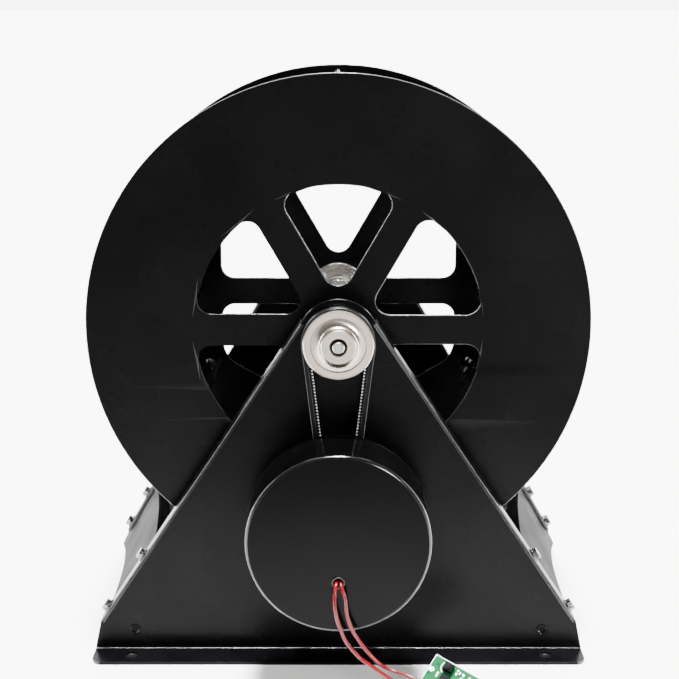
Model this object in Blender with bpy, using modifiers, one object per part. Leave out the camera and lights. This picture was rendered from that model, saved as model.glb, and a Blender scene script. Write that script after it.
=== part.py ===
"""Water wheel generator: a sheet metal wheel between two stands, with a belt drive
to a drum-shaped generator. Metres, +Z up, the pulley side towards -Y."""
import math

import bmesh
import bpy
from mathutils import Matrix, Vector

# Driving dimensions
GAP = 0.0003                    # clearance between pieces that touch
SINK = 0.00003                  # keeps the faces of joined shapes from lying in one plane
SHEET = 0.002                   # thickness of all the bent sheet
AXLE_HEIGHT = 0.2085            # wheel axis above the floor

DISC_RADIUS = 0.160
WHEEL_WIDTH = 0.124             # over the outer faces of both discs
DISC_BORE = 0.0055
SPOKE_WIDTH = 0.0192
WINDOW_OUTER = 0.092            # radius of a front window's outer edge
REAR_WINDOW_FLAT = 0.0836       # distance of a rear window's straight outer edges
WINDOW_CORNER = 0.0092

VANE_COUNT = 12
VANE_INNER = 0.098
VANE_OUTER = 0.157
TAB_LENGTH = 0.014              # along the radius
TAB_DEPTH = 0.012               # along the axis
TAB_SHEET = 0.0015
TAB_RADII = (0.106, 0.149)      # middle of the inner and the outer tab

SHAFT_RADIUS = 0.004
HUB_RADIUS = 0.0112
HUB_FLANGE = 0.021
HUB_LENGTH = 0.016
BEARING_RADIUS = 0.0125
BEARING_LENGTH = 0.007

STAND_REACH = 0.025             # from a disc's outer face to a stand's outer face
FLANGE_DEPTH = 0.015
FOOT_DEPTH = 0.020
FOOT_CORNER = 0.0065
BEND_END = 0.0200               # height where the slanted edges end
HOLE_UPRIGHT = 0.00275
HOLE_FOOT = 0.004
HOLE_X = 0.132
HOLE_UPRIGHT_Z = 0.0150

FRONT_SLOPE = math.radians(56.6)
FRONT_APEX = 0.025              # radius of the front stand's rounded top
FRONT_BASE = 0.1576             # half the base width
FRONT_FLANGE_TOP = 0.2200       # height where the flanges start
FRONT_KNEE = 0.1545             # half the width where the slanted edge ends
REAR_SLOPE = math.radians(60.1)
REAR_OFFSET = 0.04525           # slanted edge's distance from the wheel axis
REAR_BASE = 0.1650
REAR_FLANGE_TOP = 0.2045
REAR_SHOULDER = 0.003           # shoulder's height above the wheel axis
REAR_LUG = 0.019                # radius of the bearing lug

PULLEY_BACK = 0.0310            # distances in front of the front disc's face
PULLEY_FLANGE_SHEET = 0.0015
PULLEY_LENGTH = 0.0104
PULLEY_BOSS = 0.0056
PULLEY_RIM = 0.0216
PULLEY_BODY = 0.0172
PULLEY_BOSS_RADIUS = 0.0112
SHAFT_PROUD = 0.0012            # shaft end beyond the boss

BELT_OUTER = 0.0226             # outer radius around the wheel pulley
BELT_THICK = 0.0042
BELT_WIDTH = 0.006
BELT_SMALL_OUTER = 0.0092       # outer radius around the generator pulley

GENERATOR_DROP = 0.1125         # drum's axis below the wheel axis
GENERATOR_RADIUS = 0.056
GENERATOR_BACK = 0.0420         # distances in front of the front disc's face
GENERATOR_FACE = 0.0815
GENERATOR_FILLET = 0.0035
BACK_PLATE_RADIUS = 0.050
SPACER_RADIUS = 0.004
SPACER_CIRCLE = 0.040
LEAD_HOLE_DROP = 0.0235         # lead hole below the drum's axis
LEAD_HOLE_RADIUS = 0.0034

LEAD_RADIUS = 0.0012
BOARD_SIZE = (0.037, 0.029, 0.0016)
BOARD_TILT = math.radians(37.0)
BOARD_TURN = math.radians(-32.2)

# Places worked out from the driving dimensions
FRONT_REACH = WHEEL_WIDTH / 2 + GENERATOR_FACE
REAR_REACH = WHEEL_WIDTH / 2 + STAND_REACH + FOOT_DEPTH
WHEEL_Y = (FRONT_REACH - REAR_REACH) / 2
FRONT_DISC_FACE = WHEEL_Y - WHEEL_WIDTH / 2
REAR_DISC_FACE = WHEEL_Y + WHEEL_WIDTH / 2
FRONT_PLATE = FRONT_DISC_FACE - STAND_REACH
REAR_PLATE = REAR_DISC_FACE + STAND_REACH
GENERATOR_Z = AXLE_HEIGHT - GENERATOR_DROP
SPOKE_ANGLE = math.tau / 6


def in_front(distance):
    """World Y of a plane that far in front of the front disc's face."""
    return FRONT_DISC_FACE - distance


# Scene and materials
for old in list(bpy.data.objects):
    bpy.data.objects.remove(old)


def new_collection(name):
    collection = bpy.data.collections.new(name)
    bpy.context.scene.collection.children.link(collection)
    return collection


PARTS = new_collection("water_wheel_generator")
CUTTERS = new_collection("cutters")


def make_material(name, colour, roughness, metallic):
    material = bpy.data.materials.new(name)
    material.diffuse_color = (*colour, 1.0)
    material.use_nodes = True
    shader = material.node_tree.nodes["Principled BSDF"]
    shader.inputs["Base Color"].default_value = (*colour, 1.0)
    shader.inputs["Roughness"].default_value = roughness
    shader.inputs["Metallic"].default_value = metallic
    return material


BLACK_COAT = make_material("black_powder_coat", (0.012, 0.012, 0.013), 0.38, 0.0)
NICKEL = make_material("brushed_nickel", (0.72, 0.69, 0.66), 0.28, 1.0)
STEEL = make_material("bright_steel", (0.60, 0.60, 0.60), 0.25, 1.0)
BELT_RUBBER = make_material("belt_rubber", (0.015, 0.015, 0.015), 0.55, 0.0)
GLOSS_BLACK = make_material("gloss_black", (0.010, 0.010, 0.011), 0.22, 0.0)
RED_WIRE = make_material("red_wire", (0.60, 0.02, 0.03), 0.35, 0.0)
GREEN_BOARD = make_material("green_board", (0.02, 0.22, 0.07), 0.40, 0.0)
CHIP_BLACK = make_material("chip_black", (0.02, 0.02, 0.02), 0.50, 0.0)


# Making and joining shapes
def add_object(name, mesh, material, collection=PARTS):
    piece = bpy.data.objects.new(name, mesh)
    piece.data.materials.clear()
    piece.data.materials.append(material)
    collection.objects.link(piece)
    return piece


def hide_guide(guide):
    guide.hide_render = True
    guide.display_type = "WIRE"
    return guide


def mesh_of(source, weld=0.00001):
    """The source's evaluated mesh, welded, with its normals facing out."""
    bpy.context.view_layer.update()
    evaluated = source.evaluated_get(bpy.context.evaluated_depsgraph_get())
    mesh = bpy.data.meshes.new_from_object(evaluated)
    mesh.transform(source.matrix_world)
    bpy.data.objects.remove(source)
    shape = bmesh.new()
    shape.from_mesh(mesh)
    bmesh.ops.remove_doubles(shape, verts=shape.verts, dist=weld)
    bmesh.ops.recalc_face_normals(shape, faces=shape.faces)
    shape.to_mesh(mesh)
    shape.free()
    return mesh


def flat_mesh(outlines, thickness, place):
    """A sheet from closed 2D outlines, the first one the edge and the rest holes."""
    curve = bpy.data.curves.new("outline", "CURVE")
    curve.dimensions = "2D"
    curve.fill_mode = "BOTH"
    curve.extrude = thickness / 2
    for outline in outlines:
        spline = curve.splines.new("POLY")
        spline.points.add(len(outline) - 1)
        for point, (x, y) in zip(spline.points, outline):
            point.co = (x, y, 0.0, 1.0)
        spline.use_cyclic_u = True
    source = bpy.data.objects.new("outline", curve)
    source.matrix_world = place
    CUTTERS.objects.link(source)
    return mesh_of(source)


def upright(y):
    """Places an outline's x, y in the world's X, Z, its sheet centred on a Y plane."""
    return Matrix.Translation((0, y, 0)) @ Matrix.Rotation(math.pi / 2, 4, "X")


def level(z):
    return Matrix.Translation((0, 0, z))


def turned_mesh(profile, place, steps=48):
    """A turned solid from a closed profile of (radius, height) points."""
    mesh = bpy.data.meshes.new("profile")
    count = len(profile)
    closed = min(radius for radius, height in profile) > 0
    edges = [(i, (i + 1) % count) for i in range(count if closed else count - 1)]
    mesh.from_pydata([(radius, 0, height) for radius, height in profile], edges, [])
    source = bpy.data.objects.new("profile", mesh)
    source.matrix_world = place
    CUTTERS.objects.link(source)
    screw = source.modifiers.new("turn", "SCREW")
    screw.steps = steps
    screw.render_steps = steps
    screw.use_merge_vertices = True
    screw.merge_threshold = 0.00001
    return mesh_of(source)


def along_y(y, z=AXLE_HEIGHT, x=0.0):
    """Places a profile's height along +Y."""
    return Matrix.Translation((x, y, z)) @ Matrix.Rotation(-math.pi / 2, 4, "X")


def box_mesh(size, place):
    mesh = bpy.data.meshes.new("box")
    shape = bmesh.new()
    bmesh.ops.create_cube(shape, size=1.0)
    bmesh.ops.scale(shape, vec=size, verts=shape.verts)
    shape.to_mesh(mesh)
    shape.free()
    mesh.transform(place)
    return mesh


def joined_mesh(meshes):
    """Several closed shapes in one mesh."""
    shape = bmesh.new()
    for mesh in meshes:
        shape.from_mesh(mesh)
    joined = bpy.data.meshes.new("joined")
    shape.to_mesh(joined)
    shape.free()
    return joined


def boolean(piece, mesh, operation):
    guide = hide_guide(add_object(piece.name + "_guide", mesh, BLACK_COAT, CUTTERS))
    modifier = piece.modifiers.new(operation.lower(), "BOOLEAN")
    modifier.operation = operation
    modifier.solver = "EXACT"
    modifier.object = guide
    return piece


def smooth(piece, angle=35.0):
    piece.data.shade_smooth()
    piece.data.set_sharp_from_angle(angle=math.radians(angle))
    return piece


def shift_origin(piece, point):
    """Puts a piece's origin on a point without moving its shape."""
    offset = Vector(point)
    piece.data.transform(Matrix.Translation(-offset))
    piece.location = offset
    return piece


# Outlines
def arc(centre, radius, start, end, count):
    """Points on an arc, from one angle to another."""
    step = (end - start) / (count - 1)
    angles = [start + step * i for i in range(count)]
    return [(centre[0] + radius * math.cos(a), centre[1] + radius * math.sin(a)) for a in angles]


def circle(centre, radius, count=24):
    return arc(centre, radius, 0.0, math.tau * (count - 1) / count, count)


def rounded(corners, steps=6):
    """A polygon of (x, y, corner radius) with its corners turned into arcs."""
    outline = []
    for i, (x, y, radius) in enumerate(corners):
        here = Vector((x, y))
        before = (Vector(corners[i - 1][:2]) - here).normalized()
        after = (Vector(corners[(i + 1) % len(corners)][:2]) - here).normalized()
        if radius == 0:
            outline.append((x, y))
            continue
        half = before.angle(after) / 2
        centre = here + (before + after).normalized() * radius / math.sin(half)
        first = here + before * radius / math.tan(half) - centre
        last = here + after * radius / math.tan(half) - centre
        turn = first.angle_signed(last)
        for step in range(steps + 1):
            swing = Matrix.Rotation(-turn * step / steps, 2)
            outline.append(tuple(centre + swing @ first))
    return outline


def window_outline(middle, flat_sides):
    """A wheel window between two spokes, its outer side an arc or two straight edges."""
    half_spoke = SPOKE_WIDTH / 2
    side = SPOKE_ANGLE / 2
    apex = half_spoke / math.sin(side)
    corners = [(apex, 0.0, WINDOW_CORNER)]
    if flat_sides:
        reach = REAR_WINDOW_FLAT
        low = Matrix.Rotation(-side, 2) @ Vector((reach, half_spoke))
        corners += [(low.x, low.y, WINDOW_CORNER)]
        corners += [(reach / math.cos(side), 0.0, 0.020)]
        corners += [(low.x, -low.y, WINDOW_CORNER)]
    else:
        edge = math.asin(half_spoke / WINDOW_OUTER)
        for share in (-1.0, -0.72, -0.36, 0.0, 0.36, 0.72, 1.0):
            angle = share * (side - edge)
            corner = WINDOW_CORNER if abs(share) == 1.0 else 0
            point = (WINDOW_OUTER * math.cos(angle), WINDOW_OUTER * math.sin(angle), corner)
            corners.append(point)
    swing = Matrix.Rotation(middle, 2)
    centre = Vector((0.0, AXLE_HEIGHT))
    return [tuple(centre + swing @ Vector(point)) for point in rounded(corners)]


# Wheel
def vane_place(angle, radius, tangent, y):
    """Frame at a radius and angle of the wheel: x along the radius, y along the axis."""
    swing = Matrix.Rotation(-angle, 4, "Y")
    axis = Matrix.Translation((0, y, AXLE_HEIGHT))
    return axis @ swing @ Matrix.Translation((radius, 0, tangent))


def make_disc(name, face, inward, flat_sides):
    """A disc with its outer face on a Y plane and six windows between its spokes."""
    middles = [SPOKE_ANGLE * (i + 0.5) for i in range(6)]
    outlines = [circle((0.0, AXLE_HEIGHT), DISC_RADIUS, 96)]
    outlines.append(circle((0.0, AXLE_HEIGHT), DISC_BORE))
    outlines += [window_outline(middle, flat_sides) for middle in middles]
    mesh = flat_mesh(outlines, SHEET, upright(face + inward * SHEET / 2))
    disc = add_object(name, mesh, BLACK_COAT)
    return shift_origin(disc, (0, WHEEL_Y, AXLE_HEIGHT))


def make_vane(number):
    """A vane across the wheel, with the tabs that hold it to the discs on one side."""
    angle = math.tau * number / VANE_COUNT
    width = WHEEL_WIDTH - 2 * SHEET - 2 * GAP
    size = (VANE_OUTER - VANE_INNER, width, SHEET)
    middle = (VANE_INNER + VANE_OUTER) / 2
    mesh = box_mesh(size, vane_place(angle, middle, 0.0, WHEEL_Y))
    vane = add_object("vane_%02d" % (number + 1), mesh, BLACK_COAT)
    tab_side = SHEET / 2 + TAB_SHEET / 2 - SINK
    size = (TAB_LENGTH, TAB_DEPTH, TAB_SHEET)
    tabs = []
    for end in (-1, 1):
        tab_y = WHEEL_Y + end * ((width - TAB_DEPTH) / 2 - SINK)
        for radius in TAB_RADII:
            tabs.append(box_mesh(size, vane_place(angle, radius, tab_side, tab_y)))
    boolean(vane, joined_mesh(tabs), "UNION")
    return shift_origin(vane, (0, WHEEL_Y, AXLE_HEIGHT))


def make_hub(name, face, inward):
    """A flanged hub on a disc's inner face."""
    bore = SHAFT_RADIUS + GAP
    flange = 0.004
    profile = [(bore, 0.0), (HUB_FLANGE, 0.0), (HUB_FLANGE, flange), (HUB_RADIUS, flange)]
    profile += [(HUB_RADIUS, HUB_LENGTH), (bore, HUB_LENGTH)]
    start = face + inward * (SHEET + GAP)
    place = along_y(start) @ Matrix.Scale(inward, 4, (0, 0, 1))
    hub = smooth(add_object(name, turned_mesh(profile, place, 36), STEEL))
    return shift_origin(hub, (0, WHEEL_Y, AXLE_HEIGHT))


def make_shaft():
    front = in_front(PULLEY_BACK + PULLEY_LENGTH + PULLEY_BOSS + SHAFT_PROUD)
    back = REAR_PLATE + 0.012
    length = back - front
    tip = 0.0006
    radius = SHAFT_RADIUS
    profile = [(0.0, 0.0), (radius - tip, 0.0), (radius, tip), (radius, length - tip)]
    profile += [(radius - tip, length), (0.0, length)]
    shaft = smooth(add_object("wheel_shaft", turned_mesh(profile, along_y(front), 32), STEEL))
    return shift_origin(shaft, (0, WHEEL_Y, AXLE_HEIGHT))


def make_wheel_pulley():
    """Profile from the back flange forward, the boss standing proud in front."""
    bore = SHAFT_RADIUS + GAP
    sheet = PULLEY_FLANGE_SHEET
    length = PULLEY_LENGTH
    groove = 0.0006
    profile = [(bore, 0.0), (PULLEY_RIM, 0.0), (PULLEY_RIM, sheet), (PULLEY_BODY, sheet)]
    profile += [(PULLEY_BODY, length - sheet), (PULLEY_RIM, length - sheet)]
    profile += [(PULLEY_RIM, length - groove), (PULLEY_RIM - groove, length)]
    profile += [(PULLEY_BOSS_RADIUS, length), (PULLEY_BOSS_RADIUS, length + PULLEY_BOSS - groove)]
    profile += [(PULLEY_BOSS_RADIUS - groove, length + PULLEY_BOSS), (bore, length + PULLEY_BOSS)]
    place = along_y(in_front(PULLEY_BACK)) @ Matrix.Scale(-1, 4, (0, 0, 1))
    pulley = smooth(add_object("wheel_pulley", turned_mesh(profile, place, 64), NICKEL))
    return shift_origin(pulley, (0, WHEEL_Y, AXLE_HEIGHT))


def make_shaft_collar():
    bore = SHAFT_RADIUS + GAP
    profile = [(bore, 0.0), (0.008, 0.0), (0.008, 0.007), (bore, 0.007)]
    place = along_y(REAR_PLATE + 0.001)
    collar = smooth(add_object("rear_shaft_collar", turned_mesh(profile, place, 32), STEEL))
    return shift_origin(collar, (0, WHEEL_Y, AXLE_HEIGHT))


# Stands and braces
def front_outline():
    apex = AXLE_HEIGHT + FRONT_APEX / math.cos(FRONT_SLOPE)
    low = SHEET / 2
    corners = [(-FRONT_BASE, low, 0), (FRONT_BASE, low, 0), (FRONT_KNEE, BEND_END, 0)]
    corners += [(0.0, apex, FRONT_APEX), (-FRONT_KNEE, BEND_END, 0)]
    return rounded(corners, 16)


def slope_x(offset, slope, height):
    """Half width of a stand at a height, between its two slanted edges."""
    below = AXLE_HEIGHT - height
    return (offset + below * math.cos(slope)) / math.sin(slope)


def rear_outline():
    """Like the front stand, with wide shoulders and a round lug for the bearing."""
    shoulder = AXLE_HEIGHT + REAR_SHOULDER
    wide = slope_x(REAR_OFFSET, REAR_SLOPE, shoulder)
    knee = slope_x(REAR_OFFSET, REAR_SLOPE, BEND_END)
    corners = [(REAR_BASE, SHEET / 2, 0), (knee, BEND_END, 0), (wide, shoulder, 0.008)]
    right = rounded(corners + [(0, shoulder, 0)])
    start = math.asin(REAR_SHOULDER / REAR_LUG)
    lug = arc((0.0, AXLE_HEIGHT), REAR_LUG, start, math.pi - start, 17)
    half = right[:-1]
    return half + lug + [(-x, z) for x, z in reversed(half)]


def flange_mesh(side, offset, slope, top, y_from, y_to):
    """The sheet folded along one slanted edge, from a top height down to the knee."""
    low = BEND_END + 0.0008
    length = (top - low) / math.sin(slope)
    height = (top + low) / 2
    x = slope_x(offset, slope, height)
    inward = SHEET / 2 + SINK
    size = (length, abs(y_to - y_from), SHEET)
    place = Matrix.Translation((x, (y_from + y_to) / 2, height))
    place = place @ Matrix.Rotation(slope, 4, "Y") @ Matrix.Translation((0, 0, -inward))
    return box_mesh(size, Matrix.Scale(side, 4, (1, 0, 0)) @ place)


def fixed_normals(mesh):
    shape = bmesh.new()
    shape.from_mesh(mesh)
    bmesh.ops.recalc_face_normals(shape, faces=shape.faces)
    shape.to_mesh(mesh)
    shape.free()
    return mesh


def make_stand(name, outline, offset, slope, top, base, plate, outward):
    """A plate on a Y plane, its slanted edges folded to the wheel, its foot folded out."""
    holes = [circle((side * HOLE_X, HOLE_UPRIGHT_Z), HOLE_UPRIGHT, 16) for side in (-1, 1)]
    holes.append(circle((0.0, AXLE_HEIGHT), SHAFT_RADIUS + 0.001, 20))
    mesh = flat_mesh([outline] + holes, SHEET, upright(plate - outward * SHEET / 2))
    stand = add_object(name, mesh, BLACK_COAT)
    inner = plate - outward * FLANGE_DEPTH
    for side in (-1, 1):
        flange = flange_mesh(side, offset, slope, top, plate - outward * SHEET / 2, inner)
        boolean(stand, fixed_normals(flange), "UNION")
    near = plate - outward * (SHEET - SINK)
    far = plate + outward * FOOT_DEPTH
    wide = base + 0.0003
    corners = [(-wide, near, 0), (wide, near, 0)]
    corners += [(wide, far, FOOT_CORNER), (-wide, far, FOOT_CORNER)]
    middle = plate + outward * FOOT_DEPTH / 2
    holes = [circle((side * (HOLE_X + 0.001), middle), HOLE_FOOT, 20) for side in (-1, 1)]
    boolean(stand, flat_mesh([rounded(corners)] + holes, SHEET, level(SHEET / 2)), "UNION")
    return stand


# Where the braces' edges run: share of the way from front to rear, and the heights
# of the upper and the lower edge there. The middle is cut back on its lower side.
BRACE_FRONT_HEIGHTS = (0.0700, 0.0215)
BRACE_REAR_HEIGHTS = (0.0580, 0.0105)
BRACE_BOW = (0.004, 0.010)
BRACE_SET_BACK = 0.004


def brace_section(side, share, y, heights):
    """Four corners of a brace at one Y, on the inner side of the stands' flanges."""
    offset = FRONT_APEX + (REAR_OFFSET - FRONT_APEX) * share
    slope = FRONT_SLOPE + (REAR_SLOPE - FRONT_SLOPE) * share
    normal = Vector((math.sin(slope), 0, math.cos(slope)))
    corners = []
    for lift in (-2 * SHEET - GAP, -SHEET - GAP):
        for height in heights:
            point = Vector((slope_x(offset, slope, height), y, height)) + normal * lift
            point.x *= side
            corners.append(point)
    return [corners[0], corners[1], corners[3], corners[2]]


def make_brace(name, side):
    """A plate lofted from the front stand's flange to the rear stand's flange."""
    front = FRONT_PLATE + BRACE_SET_BACK
    front_bend = FRONT_PLATE + FLANGE_DEPTH
    rear = REAR_PLATE - BRACE_SET_BACK
    rear_bend = REAR_PLATE - FLANGE_DEPTH
    middle_heights = [(a + b) / 2 + bow for a, b, bow in zip(BRACE_FRONT_HEIGHTS, BRACE_REAR_HEIGHTS, BRACE_BOW)]
    stations = [(0.0, front, BRACE_FRONT_HEIGHTS), (0.0, front_bend, BRACE_FRONT_HEIGHTS)]
    stations += [(0.5, (front + rear) / 2, middle_heights)]
    stations += [(1.0, rear_bend, BRACE_REAR_HEIGHTS), (1.0, rear, BRACE_REAR_HEIGHTS)]
    shape = bmesh.new()
    rings = []
    for share, y, heights in stations:
        rings.append([shape.verts.new(p) for p in brace_section(side, share, y, heights)])
    for near, far in zip(rings, rings[1:]):
        for i in range(4):
            j = (i + 1) % 4
            shape.faces.new((near[i], near[j], far[j], far[i]))
    shape.faces.new(rings[0])
    shape.faces.new(rings[-1])
    bmesh.ops.recalc_face_normals(shape, faces=shape.faces)
    mesh = bpy.data.meshes.new(name)
    shape.to_mesh(mesh)
    shape.free()
    return add_object(name, mesh, BLACK_COAT)


def make_bearing(name, inner_face, inward):
    bore = SHAFT_RADIUS + GAP
    rim = BEARING_RADIUS
    profile = [(bore, 0.0), (rim, 0.0), (rim, BEARING_LENGTH), (bore, BEARING_LENGTH)]
    place = along_y(inner_face + inward * GAP) @ Matrix.Scale(inward, 4, (0, 0, 1))
    return smooth(add_object(name, turned_mesh(profile, place, 36), STEEL))


# Belt drive
def belt_outline(big, small):
    """A loop around two circles, one on the wheel axis and one on the generator's."""
    lean = math.asin((big - small) / GENERATOR_DROP)
    top = arc((0.0, AXLE_HEIGHT), big, -lean, math.pi + lean, 41)
    bottom = arc((0.0, GENERATOR_Z), small, math.pi + lean, math.tau - lean, 17)
    return top + bottom


def make_belt():
    outer = belt_outline(BELT_OUTER, BELT_SMALL_OUTER)
    inner = belt_outline(BELT_OUTER - BELT_THICK, BELT_SMALL_OUTER - BELT_THICK)
    middle = in_front(PULLEY_BACK + PULLEY_LENGTH / 2)
    return add_object("drive_belt", flat_mesh([outer, inner], BELT_WIDTH, upright(middle)), BELT_RUBBER)


def make_generator_pulley():
    """The small pulley and its shaft, one turned piece that ends in the drum's back."""
    body = BELT_SMALL_OUTER - BELT_THICK - 0.0004
    start = in_front(PULLEY_BACK)
    length = GENERATOR_BACK - PULLEY_BACK - SHEET - 2 * GAP
    rim = body + 0.0030
    sheet = 0.0012
    stub = 0.0015
    profile = [(0.0, 0.0), (rim, 0.0), (rim, sheet), (body, sheet), (body, length - stub)]
    profile += [(stub, length - stub), (stub, length), (0.0, length)]
    place = along_y(start, GENERATOR_Z) @ Matrix.Scale(-1, 4, (0, 0, 1))
    return smooth(add_object("generator_pulley", turned_mesh(profile, place, 32), NICKEL))


# Generator
def make_generator_housing():
    length = GENERATOR_FACE - GENERATOR_BACK
    radius = GENERATOR_RADIUS
    fillet = GENERATOR_FILLET
    bend = arc((radius - fillet, length - fillet), fillet, 0.0, math.pi / 2, 7)
    profile = [(0.0, 0.0), (radius, 0.0)] + bend + [(0.0, length)]
    place = along_y(in_front(GENERATOR_BACK), GENERATOR_Z) @ Matrix.Scale(-1, 4, (0, 0, 1))
    housing = smooth(add_object("generator_housing", turned_mesh(profile, place, 96), GLOSS_BLACK))
    hole = [(0.0, -0.008), (LEAD_HOLE_RADIUS, -0.008), (LEAD_HOLE_RADIUS, 0.002), (0.0, 0.002)]
    hole_z = GENERATOR_Z - LEAD_HOLE_DROP
    hole_place = along_y(in_front(GENERATOR_FACE), hole_z) @ Matrix.Scale(-1, 4, (0, 0, 1))
    return boolean(housing, turned_mesh(hole, hole_place, 24), "DIFFERENCE")


def make_back_plate():
    """A round plate behind the drum, open in the middle for the generator's shaft."""
    bore = 0.0025
    profile = [(bore, 0.0), (BACK_PLATE_RADIUS, 0.0), (BACK_PLATE_RADIUS, SHEET), (bore, SHEET)]
    place = along_y(in_front(GENERATOR_BACK - GAP - SHEET), GENERATOR_Z) @ Matrix.Scale(-1, 4, (0, 0, 1))
    return smooth(add_object("generator_back_plate", turned_mesh(profile, place, 64), BLACK_COAT))


def make_spacer(number):
    """A post between the front stand and the generator's back plate."""
    angle = math.radians((20, 160, 235, 305)[number - 1])
    x = SPACER_CIRCLE * math.cos(angle)
    z = GENERATOR_Z + SPACER_CIRCLE * math.sin(angle)
    length = GENERATOR_BACK - SHEET - STAND_REACH - 3 * GAP
    profile = [(0.0, 0.0), (SPACER_RADIUS, 0.0), (SPACER_RADIUS, length), (0.0, length)]
    place = along_y(FRONT_PLATE - GAP, z, x) @ Matrix.Scale(-1, 4, (0, 0, 1))
    name = "generator_spacer_%d" % number
    return smooth(add_object(name, turned_mesh(profile, place, 20), STEEL))


def make_grommet():
    """A rubber ring in the drum's lead hole, open for the two leads."""
    outer = LEAD_HOLE_RADIUS - GAP
    bore = outer - 0.0004
    lip = LEAD_HOLE_RADIUS + 0.0012
    start = -0.006
    profile = [(bore, start), (outer, start), (outer, GAP), (lip, GAP), (lip, 0.0014), (bore, 0.0014)]
    place = along_y(in_front(GENERATOR_FACE), GENERATOR_Z - LEAD_HOLE_DROP)
    mesh = turned_mesh(profile, place @ Matrix.Scale(-1, 4, (0, 0, 1)), 24)
    return smooth(add_object("lead_grommet", mesh, CHIP_BLACK))


# Leads and regulator board
def smooth_route(points, step):
    """Evenly spaced points on a Catmull-Rom curve through hand-placed points."""
    points = [Vector(p) for p in points]
    ends = [2 * points[0] - points[1]] + points + [2 * points[-1] - points[-2]]
    dense = []
    for i in range(1, len(ends) - 2):
        p0, p1, p2, p3 = ends[i - 1:i + 3]
        for k in range(20):
            t = k / 20
            a = 2 * p1 + (p2 - p0) * t
            b = (2 * p0 - 5 * p1 + 4 * p2 - p3) * t * t
            c = (3 * p1 - p0 - 3 * p2 + p3) * t ** 3
            dense.append((a + b + c) / 2)
    dense.append(points[-1])
    lengths = [0.0]
    for a, b in zip(dense, dense[1:]):
        lengths.append(lengths[-1] + (b - a).length)
    count = max(2, round(lengths[-1] / step))
    even = []
    k = 0
    for i in range(count + 1):
        target = lengths[-1] * i / count
        while k < len(lengths) - 2 and lengths[k + 1] < target:
            k += 1
        share = (target - lengths[k]) / (lengths[k + 1] - lengths[k])
        even.append(dense[k].lerp(dense[k + 1], share))
    return even


def lead_point(x, distance, height):
    return (x, in_front(distance), height)


# Routes by hand, as x, distance in front of the front disc's face and height:
# out of the drum, down in front of it, below it and along to the board's edge.
HOLE_Z = GENERATOR_Z - LEAD_HOLE_DROP
LEFT_ROUTE = [
    (-0.00135, 0.0770, HOLE_Z), (-0.00135, 0.0833, HOLE_Z - 0.0001),
    (-0.0018, 0.0866, 0.0694), (-0.0023, 0.0884, 0.0644), (-0.0019, 0.0896, 0.0586),
    (-0.0008, 0.0900, 0.0524), (0.0013, 0.0900, 0.0459), (0.0039, 0.0900, 0.0394),
    (0.0078, 0.0900, 0.0335), (0.0129, 0.0905, 0.0279), (0.0183, 0.0920, 0.0244),
    (0.0237, 0.0940, 0.0213), (0.0308, 0.0970, 0.0175), (0.0375, 0.1006, 0.0150),
]
RIGHT_ROUTE = [
    (0.00135, 0.0770, HOLE_Z), (0.00135, 0.0833, HOLE_Z - 0.0001),
    (0.0024, 0.0864, 0.0697), (0.0040, 0.0880, 0.0652), (0.0048, 0.0885, 0.0568),
    (0.0060, 0.0890, 0.0512), (0.0081, 0.0890, 0.0454), (0.0111, 0.0885, 0.0400),
    (0.0141, 0.0885, 0.0354), (0.0178, 0.0890, 0.0307), (0.0220, 0.0900, 0.0263),
    (0.0268, 0.0910, 0.0226), (0.0321, 0.0925, 0.0206), (0.0369, 0.0945, 0.0199),
    (0.0418, 0.0970, 0.0193),
]


def board_frame():
    """Frame on the board's front face at its upper corner: x and -y run along its edges."""
    corner = Matrix.Translation((0.0592, in_front(0.0865), 0.0284))
    lean = Matrix.Rotation(BOARD_TILT, 4, "X")
    return corner @ lean @ Matrix.Rotation(BOARD_TURN, 4, "Z")


def board_edge_point(along):
    """A point just off the board's left edge, at a distance from the upper corner."""
    return board_frame() @ Vector((-GAP, -along, -BOARD_SIZE[2] / 2))


def make_lead(name, route, along):
    curve = bpy.data.curves.new(name, "CURVE")
    curve.dimensions = "3D"
    curve.bevel_depth = LEAD_RADIUS
    curve.bevel_resolution = 2
    curve.use_fill_caps = True
    places = [lead_point(*p) for p in route] + [board_edge_point(along)]
    points = smooth_route(places, 2 * 2 * LEAD_RADIUS)
    spline = curve.splines.new("POLY")
    spline.points.add(len(points) - 1)
    for point, place in zip(spline.points, points):
        point.co = (*place, 1.0)
    source = bpy.data.objects.new(name + "_curve", curve)
    CUTTERS.objects.link(source)
    return smooth(add_object(name, mesh_of(source), RED_WIRE))


def on_board(name, centre, size, material, lift=0.0):
    """A box on the board; centre is measured from the upper corner along both edges."""
    x, y = centre
    place = board_frame() @ Matrix.Translation((x, -y, lift + size[2] / 2))
    return add_object(name, box_mesh(size, place), material)


def make_board():
    length, width, thick = BOARD_SIZE
    on_board("regulator_board", (length / 2, width / 2), BOARD_SIZE, GREEN_BOARD, -thick)
    on_board("board_inductor", (0.0107, 0.0046), (0.0060, 0.0056, 0.0034), CHIP_BLACK, GAP)
    on_board("board_chip", (0.0120, 0.0122), (0.0060, 0.0046, 0.0016), CHIP_BLACK, GAP)
    radius = 0.0032
    profile = [(0.0, 0.0), (radius, 0.0), (radius, 0.0075), (0.0, 0.0075)]
    place = board_frame() @ Matrix.Translation((0.0270, -0.0200, GAP))
    smooth(add_object("board_capacitor", turned_mesh(profile, place, 20), STEEL))


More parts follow.
